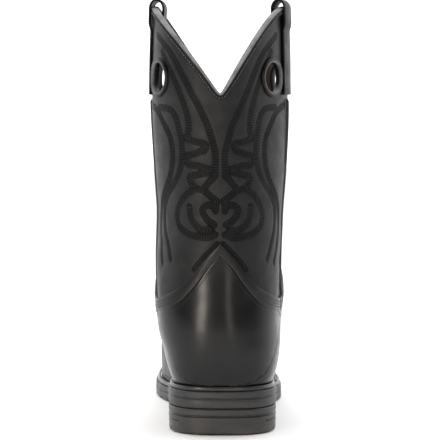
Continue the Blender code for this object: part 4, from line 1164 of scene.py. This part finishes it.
def piping_spine(side, rows):
    """Points, outward and sideways directions along a side seam, from the welt to the strap's foot."""
    tip = tip_height(side)
    low = base_row(side) + 0.06
    top = row_at_height(side * TIP_U[side], tip - STRAP_LEG - 2 * STRAP_THICK, 14.0)
    v = low + (top - low) * np.linspace(0.0, 1.0, rows) ** 1.1
    u = side * seam_u(v, side)
    spine = skin(u, v)
    normal = fine_read(NORMAL, u, v)
    return spine, normal, unit(np.cross(np.gradient(spine, axis=0), normal))


def build_piping(side):
    """Raised strip over a side seam: a half round that swells and thins at each stitch."""
    spine, normal, across = piping_spine(side, PIPING_ROWS)
    run = run_along(spine)
    bead = 1 + PIPING_BEAD * np.cos(2 * math.pi * run / PITCH)
    close = np.minimum(smooth(run / 0.002), smooth((run[-1] - run) / 0.002)) * 0.96 + 0.04
    loops = []
    for angle in np.linspace(0.0, math.pi, 13):
        wide = PIPING_HALF * math.cos(angle) * (0.93 + 0.07 * bead)
        lift = 0.0002 + (PIPING_HEIGHT - 0.0002) * math.sin(angle) ** 0.7 * bead
        loops.append(spine + across * (wide * close)[:, None] + normal * (lift * close)[:, None])
    grid = np.stack(loops, axis=1)
    grid[..., 2] = np.maximum(grid[..., 2], feather_height(grid[..., 1]))
    return capped_tube(grid)


def rim_frame(columns):
    """Rim points of the collar with their outward and upward directions, all round."""
    u = np.linspace(-1.0, 1.0, columns + 1)[:-1]
    v = row_at_height(u, collar_height(u), 18.0)
    rim = skin(u, v)
    normal = fine_read(NORMAL, u, v)
    run = unit(np.roll(rim, -1, axis=0) - np.roll(rim, 1, axis=0))
    up = np.cross(normal, run)
    return rim, normal, unit(up * np.sign(up[:, 2:3]))


def build_binding():
    """Folded binding: a rounded profile over the collar's edge, carried all round it."""
    rim, normal, up = rim_frame(COLLAR_COLUMNS)
    outer = OVERLAY_NEAR + GAP / 2
    inner = -WALL - OVERLAY_NEAR - GAP / 2
    thick = BINDING_THICK
    leg = -BINDING_LEG
    profile = [
        (outer - 0.0004, leg), (outer + thick * 0.55, leg), (outer + thick * 0.9, leg + 0.0004),
        (outer + thick, leg * 0.6), (outer + thick, leg * 0.3), (outer + thick * 0.97, -0.0002),
        (outer + thick * 0.75, 0.0006), (outer + thick * 0.2, 0.0012), (-WALL / 2, 0.0015),
        (inner - thick * 0.2, 0.0012), (inner - thick * 0.75, 0.0006), (inner - thick * 0.97, -0.0002),
        (inner - thick, leg * 0.5), (inner - thick * 0.9, leg + 0.0003), (inner + 0.0004, leg),
    ]
    loops = np.stack([rim + normal * lift + up * rise for lift, rise in profile])
    return tube(loops, [smooth((rise + 0.0004) / 0.0012) for _, rise in profile])


def strap_line(side, across):
    """Middle line of a pull strap at one place across its width, and its outward direction."""
    tip = tip_height(side)
    base = tip - 0.001
    row = float(row_at_height(side * TIP_U[side], base, 20.0))
    u = side * (TIP_U[side] + across / row_length(row))
    place = np.linspace(1.0, 0.0, STRAP_OUTER_ROWS)
    v = row_at_height(u, base - STRAP_LEG * place, 14.0)
    below = STRAP_LEG * place / BINDING_LEG
    stand = STRAP_NEAR + (STRAP_STAND - STRAP_NEAR) * (1 - smooth((below - 3.3) / 1.8))
    normal = fine_read(NORMAL, u, v)
    outer = (skin(u, v) + normal * stand[:, None], normal)
    reach = (STRAP_STAND + STRAP_INNER) / 2
    top = row_at_height(u, base, 18.0)
    normal = fine_read(NORMAL, u, top)
    angle = np.linspace(0.0, math.pi, STRAP_ARCH_ROWS)[1:-1, None]
    out = normal * np.cos(angle) + np.array((0.0, 0.0, STRAP_RISE / reach)) * np.sin(angle)
    middle = skin(u, top) + normal * (STRAP_STAND - STRAP_INNER) / 2
    arch = (middle + out * reach, unit(out))
    place = np.linspace(0.0, 1.0, STRAP_INNER_ROWS)
    v = row_at_height(u, base - STRAP_LEG * place, 14.0)
    inner = -STRAP_INNER * (1 - place) - (WALL + GAP + STRAP_THICK / 2 + 0.0003) * place
    normal = fine_read(NORMAL, u, v)
    leg = (skin(u, v) + normal * inner[:, None], -normal)
    return [np.concatenate(parts) for parts in zip(outer, arch, leg)]


def strap_sheet(side):
    """Middle points and outward directions of a pull strap: along it, then across it."""
    places = np.linspace(-STRAP_WIDTH / 2, STRAP_WIDTH / 2, STRAP_COLUMNS)
    lines = [strap_line(side, across) for across in places]
    return np.stack([line[0] for line in lines], axis=1), np.stack([line[1] for line in lines], axis=1)


def build_strap(side):
    """Pull strap: a flat loop of leather with round edges, folded over the collar."""
    middle, out = strap_sheet(side)
    half = STRAP_THICK / 2
    wide = unit(middle[:, -1] - middle[:, 0])
    close = np.ones(len(middle))
    close[[0, -1]] = 0.25
    close = close[:, None, None]
    rim = []
    for column, way, turn in ((-1, 1, np.linspace(1.2, -1.2, 5)), (0, -1, np.linspace(-1.2, 1.2, 5))):
        rim.append(np.stack([
            middle[:, column] + out[:, column] * half * math.sin(t) * close[:, 0]
            + wide * way * half * 0.8 * math.cos(t) for t in turn], axis=1))
    far = middle + out * half * close
    near = middle - out * half * close
    loops = np.concatenate([far, rim[0], near[:, ::-1], rim[1]], axis=1)
    return capped_tube(loops)


def strap_threads(side):
    """Stitches along both long edges of a strap's outer leg, and across its foot."""
    middle, out = strap_sheet(side)
    bodies = []
    for column in (1, STRAP_COLUMNS - 2):
        way = out[:STRAP_STITCHED_ROWS, column]
        line = middle[:STRAP_STITCHED_ROWS, column] + way * STRAP_THICK / 2
        bodies.append(seam_threads(line, way))
    for row in (2, 4):
        bodies.append(seam_threads(middle[row, 1:-1] + out[row, 1:-1] * STRAP_THICK / 2, out[row, 1:-1]))
    return bodies


def ring_loop(u, v, radius, lift):
    """Points round a pull hole at a radius measured on the surface."""
    angle = np.linspace(0, 2 * math.pi, RING_COLUMNS, endpoint=False)
    across = u + radius * np.cos(angle) / row_length(v)
    row = row_at_height(across, COLLAR_HEIGHT - HOLE_DROP + radius * np.sin(angle), 16.0)
    return skin(across, row, lift), fine_read(NORMAL, across, row)


def build_ring(u, v):
    """Ring of a pull hole: a soft flange outside, the turned edge through the wall, a flange inside."""
    inner = HOLE_RADIUS + 0.0003
    outer = RING_RADIUS
    lift = OVERLAY_FAR
    wall = -WALL - OVERLAY_FAR
    profile = [
        (inner, OVERLAY_NEAR), (inner + 0.0001, lift * 0.7), (inner + 0.0006, lift),
        (inner + 0.0014, lift + GAP / 2), (outer - 0.0010, lift), (outer - 0.0003, lift * 0.8),
        (outer, lift * 0.4), (outer - 0.0002, 0.0), (inner + 0.0010, -0.0002),
        (inner + 0.0010, -WALL), (outer - 0.0010, -WALL), (outer - 0.0012, wall * 0.85),
        (inner + 0.0010, wall), (inner + 0.0002, wall * 0.85), (inner, -WALL), (inner, -WALL / 2),
    ]
    loops = np.stack([ring_loop(u, v, radius, lift)[0] for radius, lift in profile])
    # the pale mark along the hole's inner lip on the outer face is a painted highlight
    return tube(loops, [abs(radius - inner - 0.0003) < 0.0004 and lift > 0 for radius, lift in profile])


def side_threads(side):
    """Rows of stitches beside a side seam's piping, two on the back and two on the front."""
    bodies = []
    tip = tip_height(side)
    height = np.linspace(SEAM_HEIGHT + 0.014, tip - STRAP_LEG - 0.004, 200)
    rows = row_on_seam(height, side)
    for shift in SIDE_ROW_SHIFTS:
        u = side * (seam_u(rows, side) + shift / row_length(rows))
        v = row_at_height(u, height, 10.0)
        bodies.append(line_threads(u, v, 0.0))
    return bodies


def overlay_threads():
    """Stitches of the counter, its strip, the vamp and its strip."""
    size = np.linspace(0.0, 0.94, 160)
    low = band_low(size)
    lines = [(counter_line(size) - drop - 0.6 * slope_gap(size), OVERLAY_FAR) for drop in COUNTER_ROW_DROPS]
    lines += [(low + share * (band_high(size) - low), BAND_FAR + 0.0002) for share in STRIP_ROW_SHARES]
    bodies = []
    for height, lift in lines:
        for side in (-1, 1):
            u, v = back_place(side, size, height)
            bodies.append(line_threads(u, v, lift))
    shares = np.linspace(-0.94, 0.94, 400)
    for rise in VAMP_STRIP_ROW_SHARES:
        u, v = vamp_band_places(shares, np.array([rise * VAMP_BAND_RISE]))
        bodies.append(line_threads(u[0], v[0], BAND_FAR))
    u = np.linspace(-0.80, 0.80, 500)
    for gap in VAMP_ROW_DROPS:
        v = vamp_top(u)
        height = read(SURFACE, u, v)[:, 2] - gap * 1.8
        bodies.append(line_threads(u, row_at_height(u, height, 8.0), OVERLAY_FAR))
    return bodies


def collar_threads():
    """Stitches along the collar's binding, outside and inside, and round the pull holes."""
    rim, normal, up = rim_frame(COLLAR_COLUMNS)
    bodies = []
    outer = OVERLAY_NEAR + BINDING_THICK + GAP / 2
    inner = -WALL - OVERLAY_NEAR - BINDING_THICK
    for lift, rise in ((outer, -0.0023), (inner, -0.0021)):
        line = rim + normal * lift + up * rise
        bodies.append(round_threads(line, normal * np.sign(lift), COLLAR_PITCH, COLLAR_STITCH))
    for _, _, u, v in HOLES:
        line, way = ring_loop(u, v, (HOLE_RADIUS + RING_RADIUS) / 2 + 0.0002, OVERLAY_FAR + 0.0001)
        bodies.append(round_threads(line, way))
    return bodies


# Sole pieces


def sole_loop(t, inset, reach, height, breast=None):
    """One level of a sole piece: up the inner half, down the outer half."""
    inner_x, inner_y = edge_point(-1, t, inset, reach)
    outer_x, outer_y = edge_point(1, t, inset, reach)
    last = len(t) - 1 if breast is None else len(t)
    x = np.concatenate([inner_x, outer_x[1:last][::-1]])
    y = np.concatenate([inner_y, outer_y[1:last][::-1]])
    if breast is not None:
        y = np.minimum(y, breast)
    return np.stack([x, y, height(y)], axis=1)


def cap_tables(count, size):
    """Quads and end triangles across a loop, count of whose points lie on the inner half; they face down."""
    k = np.arange(1, size - count)
    quads = np.stack([k, k + 1, size - k - 1, size - k], axis=1)
    ends = [(0, 1, size - 1)] + ([(count - 2, count - 1, count)] if size == 2 * count - 2 else [])
    return quads, np.array(ends)


def sole_body(loops, count):
    """Body of levels one above another, capped below and above."""
    rows, size = loops.shape[:2]
    quads, ends = cap_tables(count, size)
    top = (rows - 1) * size
    tables = [grid_quads(rows, size, True), quads, ends, quads[:, ::-1] + top, ends[:, ::-1] + top]
    points = loops.reshape(-1, 3)
    return points, turned_out(points, tables), {}


def slot_rise(y, places):
    """How far the tread rises at y: straight slots with soft walls."""
    rise = 0.0
    for place in places:
        rise = np.maximum(rise, SLOT_DEPTH * smooth((SLOT_WIDTH / 2 + 0.0003 - np.abs(y - place)) / 0.0006))
    return rise


def half_outline(heel, waist, toe):
    """Places along half the sole's outline, with counts for its heel, middle and toe stretches."""
    stretches = ((0.0, 0.3, heel), (0.3, 0.7, waist), (0.7, 1.0, toe))
    parts = [np.linspace(start, end, count) for start, end, count in stretches]
    return np.concatenate([parts[0], parts[1][1:], parts[2][1:]])


def sole_level(y, share):
    """Height of the outsole at a share of its thickness, but never under the tops of its slots."""
    tread = sole_top(y) - sole_thickness(y)
    return np.maximum(tread + sole_thickness(y) * share, tread + slot_rise(y, SOLE_SLOTS))


def build_outsole():
    """Outsole: rounded side profile with a groove, slots across its tread."""
    t = half_outline(60, 330, 60)
    loops = [sole_loop(t, inset, 0.0, lambda y, s=share: sole_level(y, s)) for share, inset in SOLE_SIDE]
    return sole_body(np.array(loops), len(t))


def heel_inset(y, z):
    """Setback of the heel's side: rounded tread edge, then grooves as flat-bottomed bells."""
    inset = 0.0002 + 0.0020 * (1 - smooth(z / 0.0022)) ** 2 + 0.0004 * (1 - z / HEEL_SPLIT)
    for height, wide, deep, start in HEEL_GROOVES:
        there = smooth((y - along(start)) / 0.0015 + 0.5) if start >= 0 else 1.0
        inset = inset + deep * np.exp(-((z - height) / wide) ** 4) * there
    return inset + 0.0006 * np.exp(-((z - HEEL_SPLIT) / 0.0006) ** 2)


def build_heel():
    """Heel block: grooves round its corners and one all round, slots across its tread."""
    t = np.concatenate([np.linspace(0.0, 0.3, 150), np.linspace(0.3, 0.363, 36)[1:]])
    breast = along(0.244)
    loops = []
    for z in np.concatenate([np.linspace(0.0, 0.0022, 6)[:-1], np.linspace(0.0022, HEEL_SPLIT, 52)]):
        plain = sole_loop(t, 0.0, 0.0, lambda y: z + 0.0 * y, breast)
        loop = sole_loop(t, heel_inset(edge_point(-1, t, 0.0)[1], z), 0.0, lambda y: z + 0.0 * y, breast)
        loop[:, 2] = np.maximum(z, slot_rise(plain[:, 1], HEEL_SLOTS))
        loops.append(loop)
    return sole_body(np.array(loops), len(t))


def build_welt():
    """Welt: a strip with a round edge, its top face falling a little to the groove of the stitches."""
    t = half_outline(100, 220, 90)
    edge = WELT_SETBACK
    profile = [
        (edge + 0.0006, 0.0, 0.00), (edge + 0.0001, 0.0, 0.12), (edge, 0.0, 0.35),
        (edge, 0.0, 0.65), (edge + 0.0002, 0.0, 0.86), (edge + 0.0007, 0.0, 0.98),
        (edge + 0.0012, 0.0, 1.00), (edge + 0.0020, 0.0, 0.93), (0.0006, 0.9, 1.00),
        (WELT_UNDERLAP, 1.0, 1.00), (WELT_UNDERLAP, 1.0, 0.00),
    ]
    loops = [sole_loop(t, inset, reach, lambda y, s=share: sole_top(y) + GAP + WELT_THICK * s)
             for inset, reach, share in profile]
    return tube(np.array(loops))


def welt_threads():
    """Stitches that lie in the welt's groove, from the middle of the waist round the toe."""
    t = np.linspace(0.33, 1.0, 700)
    line = sole_loop(t, WELT_SETBACK + WELT_ROW_SETBACK, 0.0, lambda y: welt_top(y) - 0.0001)
    upright = np.zeros(line.shape) + (0.0, 0.0, 1.0)
    return seam_threads(line, upright, WELT_PITCH, WELT_STITCH, WELT_THREAD)


# Materials


def linear(code):
    """Linear colour of an sRGB hex code."""
    values = [int(code[k:k + 2], 16) / 255 for k in (1, 3, 5)]
    return tuple(v / 12.92 if v <= 0.04045 else ((v + 0.055) / 1.055) ** 2.4 for v in values) + (1.0,)


def dress(tree, shader, inputs):
    """Give a node's sockets their values, or links from other nodes' sockets."""
    for key, value in inputs.items():
        if isinstance(value, bpy.types.NodeSocket):
            tree.links.new(value, shader.inputs[key])
        else:
            shader.inputs[key].default_value = value


def node(tree, kind, inputs=None, **settings):
    """Add a shader node; inputs maps its sockets to values or to other nodes' sockets."""
    made = tree.nodes.new(kind)
    for key, value in settings.items():
        setattr(made, key, value)
    dress(tree, made, inputs or {})
    return made


def maths(tree, operation, *values):
    """Result of one arithmetic step between numbers or sockets."""
    return node(tree, "ShaderNodeMath", dict(enumerate(values)), operation=operation).outputs[0]


def ramp(tree, value, low, high, start=0.0, end=1.0):
    """Value carried smoothly from one range to another."""
    inputs = {"Value": value, "From Min": low, "From Max": high, "To Min": start, "To Max": end}
    return node(tree, "ShaderNodeMapRange", inputs, interpolation_type="SMOOTHSTEP").outputs["Result"]


def blend(tree, share, one, other):
    """Colour between two others."""
    inputs = {"Factor": share, "A": one, "B": other}
    return node(tree, "ShaderNodeMix", inputs, data_type="RGBA").outputs["Result"]


def empty_material(name):
    """New material with its tree, its shader and the Object coordinates."""
    paint = bpy.data.materials.new(name)
    paint.use_nodes = True
    tree = paint.node_tree
    coord = node(tree, "ShaderNodeTexCoord").outputs["Object"]
    return paint, tree, tree.nodes["Principled BSDF"], coord


def noise(tree, coord, scale, detail=3.0, rough=0.55):
    """Noise whose cells are about one over the scale in metres."""
    inputs = {"Vector": coord, "Scale": scale, "Detail": detail, "Roughness": rough}
    return node(tree, "ShaderNodeTexNoise", inputs).outputs["Fac"]


def bump(tree, height, distance, below=None):
    """Bump of a height in metres over an earlier one."""
    inputs = {"Height": height, "Distance": distance, "Strength": 1.0}
    if below is not None:
        inputs["Normal"] = below
    return node(tree, "ShaderNodeBump", inputs).outputs["Normal"]


def read_mark(tree, name):
    """A mesh attribute of the piece: worn, inside, row or away."""
    return node(tree, "ShaderNodeAttribute", attribute_name=name).outputs["Fac"]


def darker(tone, share):
    """A linear colour with its three values taken down to a share."""
    return tuple(v * share for v in tone[:3]) + (1.0,)


def stitched_rows(tree, tone, colour, normal, shine):
    """Colour, normal and shine of the pattern's bands: pressed grooves along each row of thread, with painted
    shade that darkens the grooves and the whole band.
    """
    band = ramp(tree, read_mark(tree, "away"), BAND_FULL, BAND_END, 1.0, 0.0)
    wave = maths(tree, "MULTIPLY", read_mark(tree, "row"), 2 * math.pi / (ROW_GAP * 1000))
    groove = maths(tree, "MULTIPLY", band, ramp(tree, maths(tree, "COSINE", wave), -1.0, 0.3, 1.0, 0.0))
    normal = bump(tree, maths(tree, "MULTIPLY", groove, -1.0), GROOVE_DEPTH, normal)
    # painted shade: the grooves fully and the whole band at half strength are darkened in colour and lose
    # shine
    groove_shade = maths(tree, "MAXIMUM", groove, maths(tree, "MULTIPLY", band, 0.5))
    colour = blend(tree, groove_shade, colour, darker(tone, 0.2))
    return colour, normal, ramp(tree, groove_shade, 0.0, 1.0, shine, shine * 0.15)


def leather(name, tone, wear_and_sheen_tone, rough, coat, grain=0.00006, cell=900.0, pattern=False, lining=None,
            slow_depth=0.0005, shine=0.35):
    """Leather: round grain cells, fine pores, slow mottling, paler edges and a thin finish; on the pull
    holes' rims the paler edge is a painted highlight.
    """
    paint, tree, shader, coord = empty_material(name)
    tone = linear(tone)
    cells = node(tree, "ShaderNodeTexVoronoi", {"Vector": coord, "Scale": cell, "Randomness": 1.0},
                 feature="SMOOTH_F1").outputs["Distance"]
    pores = noise(tree, coord, 3200.0, 2.0)
    mottle = noise(tree, coord, 85.0, 4.0)
    slow = noise(tree, coord, 28.0, 3.0)
    drawn_out = node(tree, "ShaderNodeMapping", {"Vector": coord, "Scale": (420.0, 420.0, 70.0)})
    rubs = noise(tree, drawn_out.outputs["Vector"], 1.0)
    # paler marks: rubbed scuffs, paler edges, and a painted highlight along the pull holes' rims
    worn = maths(tree, "MULTIPLY", read_mark(tree, "worn"), ramp(tree, mottle, 0.25, 0.6, 0.45, 1.0))
    scuff = ramp(tree, rubs, 0.66, 0.80, 0.0, 0.22)
    worn = maths(tree, "MAXIMUM", worn, scuff)
    colour = blend(tree, ramp(tree, mottle, 0.3, 0.7), darker(tone, 0.62), tone)
    colour = blend(tree, worn, colour, linear(wear_and_sheen_tone))
    normal = bump(tree, cells, grain, bump(tree, slow, slow_depth))
    normal = bump(tree, pores, grain * 0.35, normal)
    gloss = maths(tree, "ADD", ramp(tree, mottle, 0.3, 0.7, rough + 0.07, rough - 0.05),
                  maths(tree, "MULTIPLY", worn, 0.15))
    if pattern:
        colour, normal, shine = stitched_rows(tree, tone, colour, normal, shine)
    if lining is not None:
        inside = read_mark(tree, "inside")
        colour = blend(tree, inside, colour, linear(lining))
        gloss = maths(tree, "MAXIMUM", gloss, maths(tree, "MULTIPLY", inside, 0.8))
        coat = maths(tree, "MULTIPLY", maths(tree, "SUBTRACT", 1.0, inside), coat)
    dress(tree, shader, {
        "Base Color": colour, "Roughness": gloss, "Normal": normal, "Specular IOR Level": shine, "IOR": 1.48,
        "Coat Weight": coat, "Coat Roughness": rough - 0.12, "Coat IOR": 1.45,
    })
    return paint


def rubber(name, tone, dust, rough):
    """Moulded rubber: fine pitting, grey dust low down and in patches."""
    paint, tree, shader, coord = empty_material(name)
    pits = noise(tree, coord, 1800.0, 3.0)
    patch = noise(tree, coord, 60.0, 4.0)
    height = node(tree, "ShaderNodeSeparateXYZ", {"Vector": coord}).outputs["Z"]
    low = maths(tree, "MULTIPLY", ramp(tree, height, 0.0, 0.010, 1.0, 0.0), ramp(tree, patch, 0.35, 0.7))
    dress(tree, shader, {
        "Base Color": blend(tree, maths(tree, "MULTIPLY", low, 0.5), linear(tone), linear(dust)),
        "Roughness": ramp(tree, patch, 0.3, 0.7, rough - 0.06, rough + 0.1),
        "Normal": bump(tree, pits, 0.00005), "IOR": 1.52,
    })
    return paint


def waxed_thread(name, tone, glint_tone):
    """Waxed thread: fine twist lines, painted lighter as glints."""
    paint, tree, shader, coord = empty_material(name)
    twist = noise(tree, coord, 2600.0, 1.0)
    # painted glints: the twist lines are blended towards the lighter tone
    dress(tree, shader, {
        "Base Color": blend(tree, ramp(tree, twist, 0.35, 0.65), linear(tone), linear(glint_tone)),
        "Normal": bump(tree, twist, 0.00006), "Roughness": 0.5, "Specular IOR Level": 0.25,
    })
    return paint


def build_paints():
    """Materials by slot, each for its real one; IOR 1.48 is that of finished leather."""
    black = "#161617"
    worn = "#434347"
    dust = "#5c5850"
    return {
        # full-grain leather tumbled soft, dull wax finish: grain cells of 1.1 mm, a broad weak gleam
        "shaft_leather": leather("tumbled_leather", "#1e1e1f", "#444447", 0.46, 0.02,
                                 pattern=True, lining="#4a4038", shine=0.23),
        # oiled full-grain leather, pulled smooth over the last: fine grain, a soft even sheen
        "vamp_leather": leather("oiled_leather", black, worn, 0.38, 0.08, 0.00003, 1200.0, shine=0.14),
        # polished full-grain leather over a stiffener: nearly smooth, two soft tall highlights
        "counter_leather": leather("polished_leather", "#0f0e0f", "#2c2a2a", 0.33, 0.40, 0.00002, 1300.0,
                                   slow_depth=0.0002, shine=0.16),
        # dull full-grain strips, paler along their edges
        "band_leather": leather("strip_leather", "#171717", worn, 0.36, 0.08, 0.00005, 1000.0, shine=0.3),
        # thin leather over a cord: satin, each swelling with a small gleam of its own
        "piping": leather("piping_leather", "#1c1c1d", "#55555a", 0.42, 0.08, 0.00005, 1300.0),
        # dyed binding leather without a finish, its black face grey along its top rim
        "binding": leather("binding_leather", "#101011", "#8a8a8c", 0.55, 0.0, 0.00004, 1400.0, shine=0.15),
        # folded strap leather, dyed through and dry: dull and very dark
        "strap": leather("strap_leather", "#0e0e0f", worn, 0.50, 0.0, 0.00005, 1000.0, shine=0.2),
        # turned leather edge of the pull holes, with a painted grey highlight along each hole's inner edge
        "ring": leather("ring_leather", "#141415", "#6a6a6c", 0.42, 0.03, 0.00004, 1300.0, shine=0.22),
        # welt leather with a waxed edge: dark grey, with a clearer gleam under its thin coat
        "welt": leather("welt_leather", "#333334", "#6a6a6e", 0.34, 0.25, 0.00003, 1300.0),
        # smooth undyed lining leather: brown and dull
        "insole": leather("lining_leather", "#5a4a3c", "#7a6a58", 0.7, 0.0, 0.00003, 1400.0),
        # moulded rubber: satin, pitted by the mould, grey dust low down
        "outsole_rubber": rubber("sole_rubber", "#2c2c2d", dust, 0.50),
        "heel_rubber": rubber("heel_rubber", "#2e2d2d", dust, 0.46),
        # bonded polyester thread with wax: fine twist lines, painted lighter as glints
        "thread": waxed_thread("black_thread", "#0b0b0c", "#262628"),
        "pale_thread": waxed_thread("grey_thread", "#39393b", "#7c7c80"),
    }


# Stage: camera, lights and floor

CAMERA_PLACE = (0.000, -1.443, 0.258)
CAMERA_AIM = (-0.0018, -0.043, 0.1693)
CAMERA_LENS = 147.8
LIGHTS = [
    # name, place, width, height, power
    ("left_strip", (-0.80, -1.46, 0.26), 0.34, 0.95, 14.0),
    ("right_strip", (0.44, -1.60, 0.26), 0.26, 0.95, 2.6),
    ("top_box", (0.0, 0.45, 1.90), 1.8, 1.8, 21.0),
    ("left_box", (-1.5, 0.10, 0.7), 1.0, 1.2, 2.4),
    ("right_box", (1.5, 0.10, 0.7), 1.0, 1.2, 2.4),
]
STRIP_WARMTH = (1.0, 0.90, 0.80)
SURROUND_DARK = 0.04
SURROUND_LIGHT = 1.8
LIGHT_AIM = (0.0, 0.05, 0.17)
FLOOR_SIZE = 12.0
FLOOR_TONE = 0.97
FLOOR_ROUGH = 0.8


def look_at(item, place, aim):
    """Put a camera or lamp at a place and turn it towards a point."""
    item.location = place
    item.rotation_euler = (Vector(aim) - Vector(place)).to_track_quat("-Z", "Y").to_euler()


def build_camera():
    """Camera straight behind the boot, a little above the middle of its shaft."""
    data = bpy.data.cameras.new("camera")
    data.lens = CAMERA_LENS
    data.sensor_width = 36.0
    data.clip_start = 0.05
    camera = bpy.data.objects.new("camera", data)
    bpy.context.scene.collection.objects.link(camera)
    look_at(camera, CAMERA_PLACE, CAMERA_AIM)
    bpy.context.scene.camera = camera


def build_lights():
    """Two warm strips beside the camera and three soft boxes."""
    for name, place, wide, high, power in LIGHTS:
        data = bpy.data.lights.new(name, "AREA")
        data.shape = "RECTANGLE"
        data.size = wide
        data.size_y = high
        data.energy = power
        data.color = STRIP_WARMTH if "strip" in name else (1.0, 1.0, 1.0)
        lamp = bpy.data.objects.new(name, data)
        bpy.context.scene.collection.objects.link(lamp)
        look_at(lamp, place, LIGHT_AIM)


def build_surround():
    """Surround that is bright behind and above the boot and dark towards the camera."""
    world = bpy.data.worlds.new("surround")
    world.use_nodes = True
    tree = world.node_tree
    aim = node(tree, "ShaderNodeTexCoord").outputs["Generated"]
    way = node(tree, "ShaderNodeSeparateXYZ", {"Vector": aim})
    lean = maths(tree, "MULTIPLY_ADD", way.outputs["Z"], 0.5, way.outputs["Y"])
    back = tree.nodes["Background"]
    back.inputs["Color"].default_value = (1.0, 1.0, 1.0, 1.0)
    tree.links.new(ramp(tree, lean, -0.20, 0.70, SURROUND_DARK, SURROUND_LIGHT), back.inputs["Strength"])
    bpy.context.scene.world = world
    bpy.context.scene.view_settings.view_transform = "Standard"


def build_floor():
    """Plain pale floor under the sole."""
    size = FLOOR_SIZE / 2
    corners = [(-size, -size, 0.0), (size, -size, 0.0), (size, size, 0.0), (-size, size, 0.0)]
    mesh = bpy.data.meshes.new("floor")
    mesh.from_pydata(corners, [], [(0, 1, 2, 3)])
    floor = bpy.data.objects.new("floor", mesh)
    bpy.context.scene.collection.objects.link(floor)
    paint = bpy.data.materials.new("pale_floor")
    paint.use_nodes = True
    shader = paint.node_tree.nodes["Principled BSDF"]
    shader.inputs["Base Color"].default_value = (FLOOR_TONE, FLOOR_TONE, FLOOR_TONE, 1.0)
    shader.inputs["Roughness"].default_value = FLOOR_ROUGH
    floor.data.materials.append(paint)


# The boot

EDGES = {side: edge_table(side) for side in (-1, 1)}
FEATHER = {side: edge_point(side, EDGES[side][0], 0.0, 1.0) for side in (-1, 1)}
SURFACE, NORMAL = dense_surface()
TIP_U = {side: float(seam_u(row_at_height(side * 0.5, COLLAR_HEIGHT, 20.0), side)) for side in (-1, 1)}
BACK = {side: back_map(side) for side in (-1, 1)}
HOLES = hole_places()
VAMP_LINE = vamp_line()
PAINTS = build_paints()


def add(name, slot, nodes, *bodies):
    """Put one leather, rubber or thread piece in the scene with its slot's material."""
    make_piece(name, bodies, PAINTS[slot], nodes)


def add_threads(name, bodies, paint="thread"):
    """Put stitches in the scene with a thread material."""
    make_piece(name, bodies, PAINTS[paint])


add("shaft_and_foot", "shaft_leather", ["upper"], build_upper())
add("vamp_leather", "vamp_leather", ["vamp"], build_vamp())
add("counter_leather", "counter_leather", ["heel_counter"], build_counter())
add("counter_strip", "band_leather", ["counter_band"], build_counter_band())
add("vamp_strip", "band_leather", ["vamp_band"], build_vamp_band())
add("collar_edge", "binding", ["collar_binding"], build_binding())
for name, side in (("medial", -1), ("lateral", 1)):
    add(f"piping_{name}", "piping", [f"side_piping_{name}"], build_piping(side))
    add(f"strap_{name}", "strap", [f"pull_strap_{name}"], build_strap(side))
for name, _, u, v in HOLES:
    add(f"ring_{name}", "ring", [f"pull_hole_ring_{name}"], build_ring(u, v))
add("sole", "outsole_rubber", ["outsole"], build_outsole())
add("heel_block", "heel_rubber", ["heel"], build_heel())
add("welt_strip", "welt", ["welt"], build_welt())
add_threads("thread_back", [pattern_threads(False)])
add_threads("thread_front", [pattern_threads(True)])
add_threads("thread_seams", overlay_threads())
add_threads("thread_sides", side_threads(-1) + side_threads(1), "pale_thread")
add_threads("thread_collar", collar_threads(), "pale_thread")
add_threads("thread_straps", strap_threads(-1) + strap_threads(1), "pale_thread")
add_threads("thread_welt", [welt_threads()], "pale_thread")
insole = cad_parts["insole"]
insole.data.materials.clear()
insole.data.materials.append(PAINTS["insole"])

build_camera()
build_lights()
build_surround()
build_floor()
